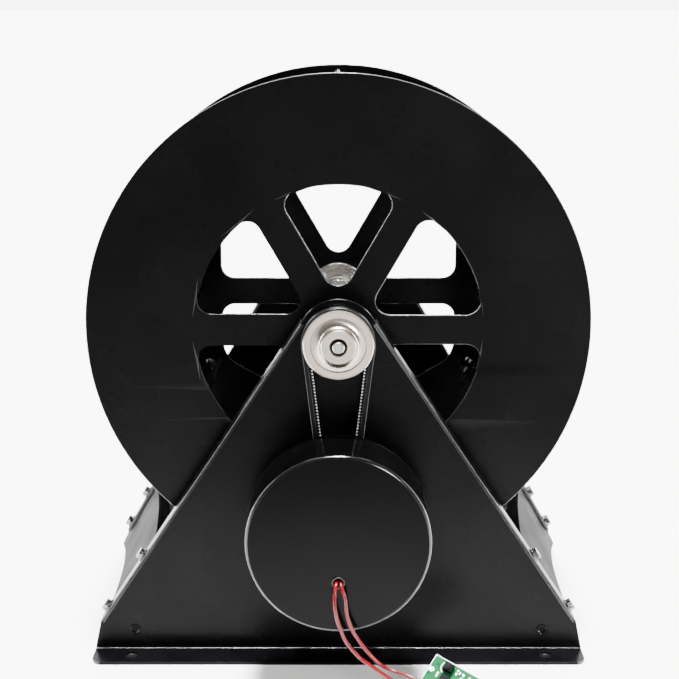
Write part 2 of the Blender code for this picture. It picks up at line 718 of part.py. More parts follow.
# Assembly
make_disc("front_disc", FRONT_DISC_FACE, 1, False)
make_disc("rear_disc", REAR_DISC_FACE, -1, True)
for vane_number in range(VANE_COUNT):
    make_vane(vane_number)
make_hub("front_hub", FRONT_DISC_FACE, 1)
make_hub("rear_hub", REAR_DISC_FACE, -1)
make_shaft()
make_wheel_pulley()
make_shaft_collar()
front_edge = (FRONT_APEX, FRONT_SLOPE, FRONT_FLANGE_TOP)
make_stand("front_stand", front_outline(), *front_edge, FRONT_BASE, FRONT_PLATE, -1)
rear_edge = (REAR_OFFSET, REAR_SLOPE, REAR_FLANGE_TOP)
make_stand("rear_stand", rear_outline(), *rear_edge, REAR_BASE, REAR_PLATE, 1)
make_brace("left_brace", -1)
make_brace("right_brace", 1)
make_bearing("front_bearing", FRONT_PLATE + SHEET, 1)
make_bearing("rear_bearing", REAR_PLATE - SHEET, -1)
make_belt()
make_generator_pulley()
make_generator_housing()
make_back_plate()
for spacer_number in (1, 2, 3, 4):
    make_spacer(spacer_number)
make_grommet()
make_lead("left_lead", LEFT_ROUTE, 0.0265)
make_lead("right_lead", RIGHT_ROUTE, 0.0210)
make_board()
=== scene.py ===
"""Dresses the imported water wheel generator: folded sheet steel in black powder coat, a turned
nickel pulley, a toothed belt, a satin drum and a small regulator board on two red leads."""
import math

import bmesh
import bpy
from mathutils import Matrix, Vector


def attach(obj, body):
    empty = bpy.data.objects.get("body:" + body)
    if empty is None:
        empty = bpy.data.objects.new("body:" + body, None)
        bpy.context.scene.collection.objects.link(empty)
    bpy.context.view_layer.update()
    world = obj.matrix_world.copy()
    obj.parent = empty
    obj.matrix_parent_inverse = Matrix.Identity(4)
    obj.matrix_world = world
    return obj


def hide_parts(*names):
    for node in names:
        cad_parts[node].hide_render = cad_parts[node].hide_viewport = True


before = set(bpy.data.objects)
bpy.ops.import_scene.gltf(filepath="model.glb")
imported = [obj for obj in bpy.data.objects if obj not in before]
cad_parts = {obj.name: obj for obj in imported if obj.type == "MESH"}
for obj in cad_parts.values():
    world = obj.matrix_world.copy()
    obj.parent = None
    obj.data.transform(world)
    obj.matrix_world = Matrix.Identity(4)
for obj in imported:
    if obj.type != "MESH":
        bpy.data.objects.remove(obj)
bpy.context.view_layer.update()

# The build's own sizes, in metres
AXLE = Vector((0.0, 0.01825, 0.2085))
SHEET = 0.002
FRONT_DISC = -0.04375
REAR_DISC = 0.08025
FRONT_PLATE = -0.06875
REAR_PLATE = 0.10525
GENERATOR_Z = 0.096
BEND = 0.0017                  # bend radius at the middle of the sheet


def in_front(distance):
    """The Y of a plane that far in front of the front disc."""
    return FRONT_DISC - distance


# Materials
def linear(text):
    """An sRGB hex colour as linear red, green, blue and alpha."""
    parts = [int(text[i:i + 2], 16) / 255 for i in (1, 3, 5)]
    return [p / 12.92 if p < 0.04045 else ((p + 0.055) / 1.055) ** 2.4 for p in parts] + [1.0]


def add(tree, kind, links=None, **settings):
    """Adds a node, sets its properties or inputs by name, and links its inputs."""
    node = tree.nodes.new(kind)
    for key, value in settings.items():
        if hasattr(node, key):
            setattr(node, key, value)
    for key, value in settings.items():
        if not hasattr(node, key):
            node.inputs[key.replace("_", " ")].default_value = value
    for key, source in (links or {}).items():
        tree.links.new(source, node.inputs[key])
    return node


def new_material(name, colour, **sockets):
    material = bpy.data.materials.new(name)
    material.use_nodes = True
    tree = material.node_tree
    shader = tree.nodes["Principled BSDF"]
    shader.inputs["Base Color"].default_value = linear(colour)
    for key, value in sockets.items():
        shader.inputs[key.replace("_", " ")].default_value = value
    return material, tree, shader


def shifted(tree, coordinates, centre):
    move = tree.nodes.new("ShaderNodeMapping")
    move.inputs["Location"].default_value = [-c for c in centre]
    tree.links.new(coordinates.outputs["Object"], move.inputs["Vector"])
    return move


def noise_on(tree, source, size_mm, detail=2.0):
    """Noise whose grains are about that many millimetres across."""
    node = tree.nodes.new("ShaderNodeTexNoise")
    node.inputs["Scale"].default_value = 1000.0 / size_mm
    node.inputs["Detail"].default_value = detail
    tree.links.new(source, node.inputs["Vector"])
    return node


def ramp_to(tree, source, target, low, high, start=0.35, end=0.65):
    """Maps a grey value from between start and end to between low and high."""
    node = tree.nodes.new("ShaderNodeMapRange")
    node.inputs["From Min"].default_value = start
    node.inputs["From Max"].default_value = end
    node.inputs["To Min"].default_value = low
    node.inputs["To Max"].default_value = high
    tree.links.new(source, node.inputs["Value"])
    tree.links.new(node.outputs["Result"], target)
    return node


def bump_to(tree, source, shader, height_mm, strength=1.0, under=None):
    node = tree.nodes.new("ShaderNodeBump")
    node.inputs["Strength"].default_value = strength
    node.inputs["Distance"].default_value = height_mm / 1000.0
    tree.links.new(source, node.inputs["Height"])
    if under is not None:
        tree.links.new(under.outputs["Normal"], node.inputs["Normal"])
    tree.links.new(node.outputs["Normal"], shader.inputs["Normal"])
    return node


def mixed_colour(tree, source, target, first, second, start=0.4, end=0.6):
    """Blends two colours by a grey value."""
    share = tree.nodes.new("ShaderNodeMapRange")
    share.inputs["From Min"].default_value = start
    share.inputs["From Max"].default_value = end
    tree.links.new(source, share.inputs["Value"])
    node = tree.nodes.new("ShaderNodeMix")
    node.data_type = "RGBA"
    node.inputs[6].default_value = linear(first)
    node.inputs[7].default_value = linear(second)
    tree.links.new(share.outputs["Result"], node.inputs[0])
    tree.links.new(node.outputs[2], target)
    return node


def object_point(tree, centre=(0, 0, 0)):
    coordinates = tree.nodes.new("ShaderNodeTexCoord")
    return shifted(tree, coordinates, centre).outputs["Vector"]


def powder_coat(name, colour, lighter, roughness, gloss):
    """Polyester powder coat, oven cured: it flows out to a satin skin with a faint
    orange peel, drawn about 1.2 mm wide so that it shows, and a few finer specks."""
    material, tree, shader = new_material(name, colour, Roughness=roughness, Specular_IOR_Level=gloss)
    point = object_point(tree)
    broad = noise_on(tree, point, 60.0, 3.0)
    mixed_colour(tree, broad.outputs["Fac"], shader.inputs["Base Color"], colour, lighter)
    peel = noise_on(tree, point, 1.2, 1.0)
    grit = noise_on(tree, point, 0.45, 1.0)
    under = bump_to(tree, peel.outputs["Fac"], shader, 0.010, 0.5)
    bump_to(tree, grit.outputs["Fac"], shader, 0.005, 0.35, under)
    smudge = noise_on(tree, point, 35.0, 4.0)
    ramp_to(tree, smudge.outputs["Fac"], shader.inputs["Roughness"], roughness - 0.04, roughness + 0.05)
    return material


def turned_metal(name, colour, darker, roughness, centre, ring_mm):
    """Metal faced on a lathe: the tool leaves fine uneven rings about its axis, drawn at
    a width that the picture can show, and they stretch each highlight across them."""
    material, tree, shader = new_material(name, colour, Metallic=1.0, Roughness=roughness, Anisotropic=0.55)
    point = object_point(tree, centre)
    flat = add(tree, "ShaderNodeVectorMath", {0: point}, operation="MULTIPLY")
    flat.inputs[1].default_value = (1.0, 0.0, 1.0)
    radius = add(tree, "ShaderNodeVectorMath", {0: flat.outputs[0]}, operation="LENGTH")
    around = add(tree, "ShaderNodeVectorMath", {0: flat.outputs[0]}, operation="CROSS_PRODUCT")
    around.inputs[1].default_value = (0.0, 1.0, 0.0)
    tree.links.new(around.outputs[0], shader.inputs["Tangent"])
    rings = add(tree, "ShaderNodeTexNoise", {"W": radius.outputs["Value"]}, noise_dimensions="1D",
                Scale=1000.0 / ring_mm, Detail=3.0)
    cloud = noise_on(tree, point, 9.0, 2.0)
    mixed_colour(tree, rings.outputs[0], shader.inputs["Base Color"], darker, colour, 0.35, 0.62)
    level = ramp_to(tree, rings.outputs[0], shader.inputs["Roughness"], roughness + 0.05, roughness - 0.04)
    bump_to(tree, rings.outputs[0], shader, 0.03, 0.35)
    wear_and_sheen = add(tree, "ShaderNodeMath", {0: cloud.outputs[0]}, operation="MULTIPLY_ADD")
    wear_and_sheen.inputs[1].default_value = 0.10
    tree.links.new(level.outputs["Result"], wear_and_sheen.inputs[2])
    tree.links.new(wear_and_sheen.outputs[0], shader.inputs["Roughness"])
    return material


def plated(name, colour, darker, roughness):
    """A thin plate on rolled steel: metal with faint clouds in its shine."""
    material, tree, shader = new_material(name, colour, Metallic=1.0, Roughness=roughness)
    point = object_point(tree)
    cloud = noise_on(tree, point, 1.6, 3.0)
    mixed_colour(tree, cloud.outputs["Fac"], shader.inputs["Base Color"], darker, colour)
    ramp_to(tree, cloud.outputs["Fac"], shader.inputs["Roughness"], roughness - 0.08, roughness + 0.10)
    bump_to(tree, cloud.outputs["Fac"], shader, 0.006, 0.4)
    return material


def moulded(name, colour, lighter, roughness, grain_mm, height_mm, **sockets):
    """Rubber or plastic from a mould: an even, slightly grained skin."""
    material, tree, shader = new_material(name, colour, Roughness=roughness, **sockets)
    point = object_point(tree)
    grain = noise_on(tree, point, grain_mm, 2.0)
    cloud = noise_on(tree, point, grain_mm * 9, 2.0)
    mixed_colour(tree, cloud.outputs["Fac"], shader.inputs["Base Color"], colour, lighter)
    ramp_to(tree, grain.outputs["Fac"], shader.inputs["Roughness"], roughness - 0.05, roughness + 0.06)
    bump_to(tree, grain.outputs["Fac"], shader, height_mm, 0.5)
    return material


POWDER_COAT = powder_coat("black_powder_coat", "#030304", "#060607", 0.27, 0.055)
EDGE_COAT = powder_coat("thick_edge_coat", "#050506", "#09090a", 0.24, 0.50)
BRACE_COAT = powder_coat("matt_brace_coat", "#080809", "#0c0c0d", 0.50, 0.014)
DRUM_COAT = powder_coat("gloss_drum_coat", "#020202", "#040404", 0.15, 0.055)
DRUM_EDGE = powder_coat("gloss_drum_edge", "#030303", "#060606", 0.16, 0.50)
PULLEY_NICKEL = turned_metal("turned_nickel", "#cbbfb4", "#a89c91", 0.17, AXLE, 0.9)
SHAFT_STEEL = turned_metal("ground_shaft_steel", "#bab6b0", "#96928d", 0.20, AXLE, 0.8)
SMALL_NICKEL = turned_metal("turned_small_nickel", "#e2dad0", "#cbc1b6", 0.22, (0, 0, GENERATOR_Z), 0.8)
BRIGHT_ZINC = plated("bright_zinc", "#d2d4d4", "#9a9c9c", 0.26)
DARK_NICKEL = plated("dark_nickel_plate", "#77797a", "#505253", 0.20)
BELT_RUBBER = moulded("neoprene_belt", "#040404", "#070707", 0.42, 0.5, 0.010, Specular_IOR_Level=0.10)
# A lighter, glossier rubber: the gloss is real, and on the belt's bevelled edges the lighter colour is a painted
# highlight; on the grommet it is the grommet's own colour
BELT_EDGE_GLINT_AND_GROMMET = moulded("belt_edge_glint_and_grommet_skin", "#0c0c0c", "#141414", 0.34, 0.5, 0.006, Specular_IOR_Level=0.35)
# Mid grey that fills the rear stand's slots: painted shade, the shaded floor seen through them
SLOT_SHADE_GREY = moulded("painted_slot_shade", "#3c3c3c", "#4a4a4a", 0.6, 0.5, 0.006, Specular_IOR_Level=0.2)
# Off-white on the belt's tooth tips: painted highlights, the glints of the teeth drawn as colour
TOOTH_TIP_GLINT_PAINT = moulded("painted_tooth_tip_glint", "#b8b8b2", "#dededa", 0.45, 0.4, 0.006)
# Black rubber: the bearing seals' own colour, and painted shade in the stands' holes and round the shaft's end
SEAL_RUBBER_AND_SHADE = moulded("grommet_rubber", "#030303", "#060606", 0.55, 0.4, 0.006, Specular_IOR_Level=0.08)
LEAD_PVC = moulded("red_pvc_lead", "#4a0206", "#580409", 0.20, 0.6, 0.004, Specular_IOR_Level=0.35)
CHIP_EPOXY = moulded("chip_epoxy", "#020202", "#040404", 0.5, 0.25, 0.006, Specular_IOR_Level=0.03)
CERAMIC = moulded("cream_ceramic", "#c9c4b6", "#dcd8cc", 0.5, 0.3, 0.004)


# Shapes
def new_piece(name, mesh, material, body, *nodes):
    """A finished piece at the origin, riding on a body, in place of its CAD nodes."""
    piece = bpy.data.objects.new(name, mesh)
    bpy.context.scene.collection.objects.link(piece)
    if material is not None:
        mesh.materials.clear()
        mesh.materials.append(material)
    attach(piece, body)
    if nodes:
        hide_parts(*nodes)
    return piece


def finish_edges(piece, material, is_edge):
    """Gives another finish to the faces whose normal and middle say that they are edges."""
    mesh = piece.data
    mesh.materials.append(material)
    for face in mesh.polygons:
        if is_edge(face.normal, face.center):
            face.material_index = 1
    return piece


def mesh_from(source, remove=True):
    """The source's evaluated mesh in world space."""
    bpy.context.view_layer.update()
    evaluated = source.evaluated_get(bpy.context.evaluated_depsgraph_get())
    mesh = bpy.data.meshes.new_from_object(evaluated)
    mesh.transform(source.matrix_world)
    if remove:
        bpy.data.objects.remove(source)
    return mesh


def shade(mesh, degrees=35.0):
    """Smooth across the bends and edges, while the large flats stay flat."""
    mesh.shade_smooth()
    mesh.set_sharp_from_angle(angle=math.radians(degrees))
    return with_modifiers(mesh, ("WEIGHTED_NORMAL", {"keep_sharp": True, "mode": "FACE_AREA"}))


def cleaned(mesh, weld=0.00002):
    """Doubles merged and normals facing out."""
    shape = bmesh.new()
    shape.from_mesh(mesh)
    bmesh.ops.remove_doubles(shape, verts=shape.verts, dist=weld)
    bmesh.ops.recalc_face_normals(shape, faces=shape.faces)
    shape.to_mesh(mesh)
    shape.free()
    return mesh


def joined(meshes):
    shape = bmesh.new()
    for mesh in meshes:
        shape.from_mesh(mesh)
    result = bpy.data.meshes.new("joined")
    shape.to_mesh(result)
    shape.free()
    return result


def arc(centre, radius, start, end, count):
    step = (end - start) / (count - 1)
    angles = [start + step * i for i in range(count)]
    return [(centre[0] + radius * math.cos(a), centre[1] + radius * math.sin(a)) for a in angles]


def circle(centre, radius, count=48):
    return arc(centre, radius, 0.0, math.tau * (count - 1) / count, count)


def rounded(corners, steps=10):
    """A polygon of (x, y, radius) with its corners turned into arcs."""
    outline = []
    for i, (x, y, radius) in enumerate(corners):
        here = Vector((x, y))
        if radius == 0:
            outline.append((x, y))
            continue
        before = (Vector(corners[i - 1][:2]) - here).normalized()
        after = (Vector(corners[(i + 1) % len(corners)][:2]) - here).normalized()
        half = before.angle(after) / 2
        centre = here + (before + after).normalized() * radius / math.sin(half)
        first = here + before * radius / math.tan(half) - centre
        last = here + after * radius / math.tan(half) - centre
        turn = first.angle_signed(last)
        outline += [tuple(centre + Matrix.Rotation(-turn * k / steps, 2) @ first) for k in range(steps + 1)]
    return outline


def flat_sheet(outlines, place, thickness=0.0, edge=0.0):
    """A flat outline with holes, with thickness and softened edges if they are given."""
    curve = bpy.data.curves.new("outline", "CURVE")
    curve.dimensions = "2D"
    curve.fill_mode = "BOTH"
    curve.extrude = max(0.0, thickness / 2 - edge)
    curve.bevel_depth = edge
    curve.bevel_resolution = 2
    curve.offset = -edge
    for outline in outlines:
        spline = curve.splines.new("POLY")
        spline.points.add(len(outline) - 1)
        for point, (x, y) in zip(spline.points, outline):
            point.co = (x, y, 0.0, 1.0)
        spline.use_cyclic_u = True
    source = bpy.data.objects.new("outline", curve)
    source.matrix_world = place
    bpy.context.scene.collection.objects.link(source)
    mesh = mesh_from(source)
    return cleaned(mesh) if thickness else mesh


def upright(y):
    """An outline's x, y become X, Z on a Y plane."""
    return Matrix.Translation((0, y, 0)) @ Matrix.Rotation(math.pi / 2, 4, "X")


def turned(profile, place, steps=96):
    """A turned solid from (radius, height) points: closed if it has a bore."""
    mesh = bpy.data.meshes.new("profile")
    count = len(profile)
    has_bore = min(radius for radius, height in profile) > 0
    edges = [(i, (i + 1) % count) for i in range(count if has_bore else count - 1)]
    mesh.from_pydata([(radius, 0, height) for radius, height in profile], edges, [])
    source = bpy.data.objects.new("profile", mesh)
    source.matrix_world = place
    bpy.context.scene.collection.objects.link(source)
    screw = source.modifiers.new("turn", "SCREW")
    screw.steps = steps
    screw.render_steps = steps
    screw.use_merge_vertices = True
    screw.merge_threshold = 0.00001
    return cleaned(mesh_from(source), 0.000005)


def along_y(y, x=0.0, z=AXLE.z, forward=1):
    """Places a profile's height along +Y, or along -Y."""
    turn = Matrix.Rotation(-forward * math.pi / 2, 4, "X")
    return Matrix.Translation((x, y, z)) @ turn


def soft_corners(points, radius, steps=3):
    """Rounds the corners of a turned profile."""
    closed = [(x, y, radius) for x, y in points]
    if min(x for x, y in points) <= 0:
        closed[0] = (*points[0], 0)
        closed[-1] = (*points[-1], 0)
    return rounded(closed, steps)


def box(size, place=Matrix.Identity(4), edge=0.0, segments=2):
    """A block with softened edges."""
    shape = bmesh.new()
    bmesh.ops.create_cube(shape, size=1.0)
    bmesh.ops.scale(shape, vec=size, verts=shape.verts)
    if edge:
        bmesh.ops.bevel(shape, geom=shape.edges, offset=edge, segments=segments, profile=0.5, affect="EDGES")
    mesh = bpy.data.meshes.new("box")
    shape.to_mesh(mesh)
    shape.free()
    mesh.transform(place)
    return mesh


def with_modifiers(mesh, *modifiers):
    """Runs a mesh through modifiers given as (kind, settings)."""
    source = bpy.data.objects.new("work", mesh)
    bpy.context.scene.collection.objects.link(source)
    for kind, settings in modifiers:
        modifier = source.modifiers.new(kind.lower(), kind)
        for key, value in settings.items():
            setattr(modifier, key, value)
    return mesh_from(source)


# Repeats made with Geometry Nodes
def node_group(name, sockets):
    tree = bpy.data.node_groups.new(name, "GeometryNodeTree")
    for label, kind in sockets:
        tree.interface.new_socket(label, in_out="INPUT", socket_type=kind)
    tree.interface.new_socket("Geometry", in_out="OUTPUT", socket_type="NodeSocketGeometry")
    return tree


def grown(mesh, tree, material, **values):
    """A mesh run through a node tree, whose inputs are set by their names here."""
    source = bpy.data.objects.new("grown", mesh)
    bpy.context.scene.collection.objects.link(source)
    modifier = source.modifiers.new("grow", "NODES")
    modifier.node_group = tree
    wanted = {key.replace("_", " "): value for key, value in values.items()}
    wanted["Finish"] = material
    for item in tree.interface.items_tree:
        if item.in_out == "INPUT" and item.name in wanted:
            modifier[item.identifier] = wanted[item.name]
    return mesh_from(source)


def ring_of_copies():
    """Copies of a mesh, turned about an axis along Y through a centre."""
    tree = node_group("ring_of_copies", [
        ("Geometry", "NodeSocketGeometry"), ("Count", "NodeSocketInt"),
        ("Centre", "NodeSocketVector"), ("First turn", "NodeSocketFloat"),
        ("Finish", "NodeSocketMaterial")])
    given = tree.nodes.new("NodeGroupInput")
    away = add(tree, "ShaderNodeVectorMath", operation="SCALE")
    tree.links.new(given.outputs["Centre"], away.inputs[0])
    away.inputs["Scale"].default_value = -1.0
    centred = add(tree, "GeometryNodeTransform", {"Geometry": given.outputs["Geometry"]})
    tree.links.new(away.outputs["Vector"], centred.inputs["Translation"])
    points = add(tree, "GeometryNodePoints", {"Count": given.outputs["Count"]})
    tree.links.new(given.outputs["Centre"], points.inputs["Position"])
    index = tree.nodes.new("GeometryNodeInputIndex")
    share = add(tree, "ShaderNodeMath", {0: index.outputs[0], 1: given.outputs["Count"]}, operation="DIVIDE")
    turn = add(tree, "ShaderNodeMath", {0: share.outputs[0], 2: given.outputs["First turn"]},
               operation="MULTIPLY_ADD")
    turn.inputs[1].default_value = math.tau
    angles = add(tree, "ShaderNodeCombineXYZ", {"Y": turn.outputs[0]})
    copies = add(tree, "GeometryNodeInstanceOnPoints", {
        "Points": points.outputs[0], "Instance": centred.outputs[0], "Rotation": angles.outputs[0]})
    whole = add(tree, "GeometryNodeRealizeInstances", {"Geometry": copies.outputs[0]})
    finish = add(tree, "GeometryNodeSetMaterial", {
        "Geometry": whole.outputs[0], "Material": given.outputs["Finish"]})
    end = tree.nodes.new("NodeGroupOutput")
    tree.links.new(finish.outputs[0], end.inputs[0])
    return tree


def copies_on_points():
    """A small mesh set on every point, turned by the point's own attribute."""
    tree = node_group("copies_on_points", [
        ("Geometry", "NodeSocketGeometry"), ("Copy", "NodeSocketObject"),
        ("Size", "NodeSocketFloat"), ("Finish", "NodeSocketMaterial")])
    given = tree.nodes.new("NodeGroupInput")
    points = add(tree, "GeometryNodeMeshToPoints", {"Mesh": given.outputs["Geometry"]})
    stored = add(tree, "GeometryNodeInputNamedAttribute", data_type="FLOAT_VECTOR")
    stored.inputs["Name"].default_value = "turn"
    model = add(tree, "GeometryNodeObjectInfo", {"Object": given.outputs["Copy"]})
    copies = add(tree, "GeometryNodeInstanceOnPoints", {
        "Points": points.outputs[0], "Instance": model.outputs["Geometry"],
        "Rotation": stored.outputs["Attribute"], "Scale": given.outputs["Size"]})
    whole = add(tree, "GeometryNodeRealizeInstances", {"Geometry": copies.outputs[0]})
    finish = add(tree, "GeometryNodeSetMaterial", {
        "Geometry": whole.outputs[0], "Material": given.outputs["Finish"]})
    end = tree.nodes.new("NodeGroupOutput")
    tree.links.new(finish.outputs[0], end.inputs[0])
    return tree


def teeth_on_loop():
    """Teeth along the inside of a closed loop in the XZ plane, one every pitch."""
    tree = node_group("teeth_on_loop", [
        ("Geometry", "NodeSocketGeometry"), ("Count", "NodeSocketInt"),
        ("Pitch", "NodeSocketFloat"), ("Fill", "NodeSocketFloat"), ("Height", "NodeSocketFloat"),
        ("Width", "NodeSocketFloat"), ("Finish", "NodeSocketMaterial")])
    given = tree.nodes.new("NodeGroupInput")
    loop = add(tree, "GeometryNodeMeshToCurve", {"Mesh": given.outputs["Geometry"]})
    even = add(tree, "GeometryNodeResampleCurve", {"Curve": loop.outputs[0], "Count": given.outputs["Count"]})
    share = add(tree, "ShaderNodeMath", {0: given.outputs["Pitch"]}, operation="MULTIPLY")
    tree.links.new(given.outputs["Fill"], share.inputs[1])
    size = add(tree, "ShaderNodeCombineXYZ", {
        "X": share.outputs[0], "Y": given.outputs["Width"], "Z": given.outputs["Height"]})
    tooth = add(tree, "GeometryNodeMeshCube", {"Size": size.outputs[0]})
    tangent = tree.nodes.new("GeometryNodeInputTangent")
    turn = add(tree, "FunctionNodeAlignRotationToVector", {"Vector": tangent.outputs[0]},
               axis="X", pivot_axis="Y")
    copies = add(tree, "GeometryNodeInstanceOnPoints", {
        "Points": even.outputs[0], "Instance": tooth.outputs[0], "Rotation": turn.outputs[0]})
    whole = add(tree, "GeometryNodeRealizeInstances", {"Geometry": copies.outputs[0]})
    finish = add(tree, "GeometryNodeSetMaterial", {
        "Geometry": whole.outputs[0], "Material": given.outputs["Finish"]})
    end = tree.nodes.new("NodeGroupOutput")
    tree.links.new(finish.outputs[0], end.inputs[0])
    return tree


RING_OF_COPIES = ring_of_copies()
COPIES_ON_POINTS = copies_on_points()
TEETH_ON_LOOP = teeth_on_loop()


def copied_to(model_mesh, places, material, size=1.0):
    """A mesh copied to places given as matrices."""
    model = bpy.data.objects.new("model", model_mesh)
    bpy.context.scene.collection.objects.link(model)
    points = bpy.data.meshes.new("points")
    points.from_pydata([tuple(place.translation) for place in places], [], [])
    turns = points.attributes.new("turn", "FLOAT_VECTOR", "POINT")
    for item, place in zip(turns.data, places):
        item.vector = place.to_euler()
    mesh = grown(points, COPIES_ON_POINTS, material, Copy=model, Size=size)
    bpy.data.objects.remove(model)
    return mesh


def standing_on(point, direction):
    """Frame at a point with its z along a direction."""
    turn = Vector(direction).to_track_quat("Z", "Y").to_matrix().to_4x4()
    return Matrix.Translation(point) @ turn


# Fasteners
def hexagon(width, turn=0.0):
    radius = width / math.sqrt(3)
    return [(radius * math.cos(turn + math.tau * i / 6), radius * math.sin(turn + math.tau * i / 6)) for i in range(6)]


def socket_screw(thread, head, length):
    """A socket head cap screw standing on z = 0, its shank below."""
    radius = head / 2
    edge = 0.0003
    outer = soft_corners([(0.0, thread), (radius, thread), (radius, 0.0), (thread / 2, 0.0),
                          (thread / 2, -length), (0.0, -length)], edge)
    body = turned(outer, Matrix.Identity(4), 28)
    drive = flat_sheet([hexagon(thread * 0.80)], Matrix.Translation((0, 0, thread)), thread)
    cut = bpy.data.objects.new("cut", drive)
    bpy.context.scene.collection.objects.link(cut)
    mesh = with_modifiers(body, ("BOOLEAN", {"operation": "DIFFERENCE", "object": cut, "solver": "EXACT"}))
    bpy.data.objects.remove(cut)
    return shade(cleaned(mesh), 30)


def hex_bolt(thread, width, height, length):
    """A hexagon head bolt standing on z = 0, its shank below."""
    head = flat_sheet([hexagon(width, 0.3)], Matrix.Translation((0, 0, height / 2)), height, 0.00045)
    shank = soft_corners([(0.0, 0.0), (thread / 2, 0.0), (thread / 2, -length), (0.0, -length)], 0.0003, 2)
    return shade(joined([head, turned(shank, Matrix.Identity(4), 20)]), 30)


def washer(bore, outer, thickness):
    profile = soft_corners([(bore, 0.0), (outer, 0.0), (outer, thickness), (bore, thickness)], 0.0001, 2)
    return shade(turned(profile, Matrix.Identity(4), 28), 35)


def nut(width, height, bore):
    ring = flat_sheet([hexagon(width), circle((0, 0), bore, 20)], Matrix.Translation((0, 0, height / 2)),
                      height, 0.00025)
    return shade(ring, 30)


# Wheel
def window_outline(middle, straight):
    """A window between two spokes, its outer side an arc or two straight edges."""
    half = 0.0096
    side = math.pi / 6
    corner = 0.0092
    corners = [(half / math.sin(side), 0.0, corner)]
    if straight:
        reach = 0.0836
        low = Matrix.Rotation(-side, 2) @ Vector((reach, half))
        corners += [(low.x, low.y, corner), (reach / math.cos(side), 0.0, 0.020), (low.x, -low.y, corner)]
    else:
        radius = 0.092
        edge = side - math.asin(half / radius)
        shares = [-1.0] + [-0.74 + 1.48 * i / 8 for i in range(9)] + [1.0]
        for share in shares:
            angle = share * edge
            corners.append((radius * math.cos(angle), radius * math.sin(angle), corner if abs(share) == 1 else 0))
    turn = Matrix.Rotation(middle, 2)
    return [tuple(Vector((0.0, AXLE.z)) + turn @ Vector(point)) for point in rounded(corners)]


def make_disc(name, face, inward, straight):
    outlines = [circle((0.0, AXLE.z), 0.160, 240), circle((0.0, AXLE.z), 0.0055, 32)]
    outlines += [window_outline(math.tau * (i + 0.5) / 6, straight) for i in range(6)]
    mesh = flat_sheet(outlines, upright(face + inward * SHEET / 2), SHEET, 0.0006)
    piece = new_piece(name + "_sheet", shade(mesh), POWDER_COAT, "wheel", name)
    finish_edges(piece, EDGE_COAT, lambda normal, middle: abs(normal.y) < 0.98)


def make_vanes():
    """Twelve flat vanes, each held by rounded tabs that stand up from the discs."""
    width = REAR_DISC - FRONT_DISC - 2 * SHEET - 0.0006
    plate = box((0.059, width, SHEET), Matrix.Translation((0.1275, AXLE.y, AXLE.z)), 0.0003)
    parts = [plate]
    screws = []
    screw = joined([socket_screw(0.003, 0.0055, 0.008)])
    for end in (-1, 1):
        wall = AXLE.y + end * (width / 2 + 0.0003)
        for radius in (0.106, 0.149):
            outline = rounded([(radius - 0.007, 0.0, 0), (radius + 0.007, 0.0, 0),
                               (radius + 0.007, 0.012, 0.003), (radius - 0.007, 0.012, 0.003)], 6)
            turn = Matrix.Scale(-end, 4, (0, 1, 0))
            place = Matrix.Translation((0, wall, AXLE.z + 0.00195)) @ turn
            parts.append(flat_sheet([outline], place, 0.0015, 0.0002))
            middle = Vector((radius, wall - end * 0.0068, AXLE.z))
            screws.append(middle)
    mesh = grown(shade(joined(parts)), RING_OF_COPIES, POWDER_COAT, Count=12, Centre=AXLE, First_turn=0.0)
    nodes = ["vane_%02d" % (i + 1) for i in range(12)]
    new_piece("vanes_and_tabs", shade(mesh, 30), POWDER_COAT, "wheel", *nodes)
    heads = [standing_on(point + Vector((0, 0, 0.0027)), (0, 0, 1)) for point in screws]
    nuts = [standing_on(point - Vector((0, 0, 0.0010)), (0, 0, -1)) for point in screws]
    metal = joined([copied_to(screw, heads, DARK_NICKEL),
                    copied_to(nut(0.0055, 0.0024, 0.0015), nuts, DARK_NICKEL)])
    fasteners = grown(metal, RING_OF_COPIES, DARK_NICKEL, Count=12, Centre=AXLE, First_turn=0.0)
    new_piece("vane_screws_and_nuts", shade(fasteners, 30), DARK_NICKEL, "wheel")


def make_hub(name, face, inward):
    """A flanged hub with four screws through the disc."""
    start = face + inward * (SHEET + 0.0003)
    bore = 0.0043
    profile = soft_corners([(bore, 0.0), (0.021, 0.0), (0.021, 0.004), (0.0112, 0.004),
                            (0.0112, 0.016), (bore, 0.016)], 0.0005)
    mesh = turned(profile, along_y(start, forward=inward), 80)
    new_piece(name + "_turned", shade(mesh), SHAFT_STEEL, "wheel", name)
    heads = []
    for i in range(4):
        angle = math.tau * (i + 0.5) / 4
        point = Vector((0.016 * math.cos(angle), start + inward * 0.0040, AXLE.z + 0.016 * math.sin(angle)))
        heads.append(standing_on(point, (0, inward, 0)))
    mesh = copied_to(socket_screw(0.003, 0.0055, 0.004), heads, BRIGHT_ZINC)
    new_piece(name + "_screws", shade(mesh, 30), BRIGHT_ZINC, "wheel")


def make_shaft():
    front = in_front(0.0482)
    back = REAR_PLATE + 0.012
    length = back - front
    radius = 0.004
    tip = 0.0006
    neck = 0.0037
    profile = [(0.0, 0.0), (neck - tip, 0.0), (neck, tip), (neck, 0.004), (radius, 0.0045), (radius, length - tip)]
    profile += [(radius - tip, length), (0.0, length)]
    new_piece("ground_shaft", shade(turned(profile, along_y(front), 64)), SHAFT_STEEL, "wheel", "wheel_shaft")


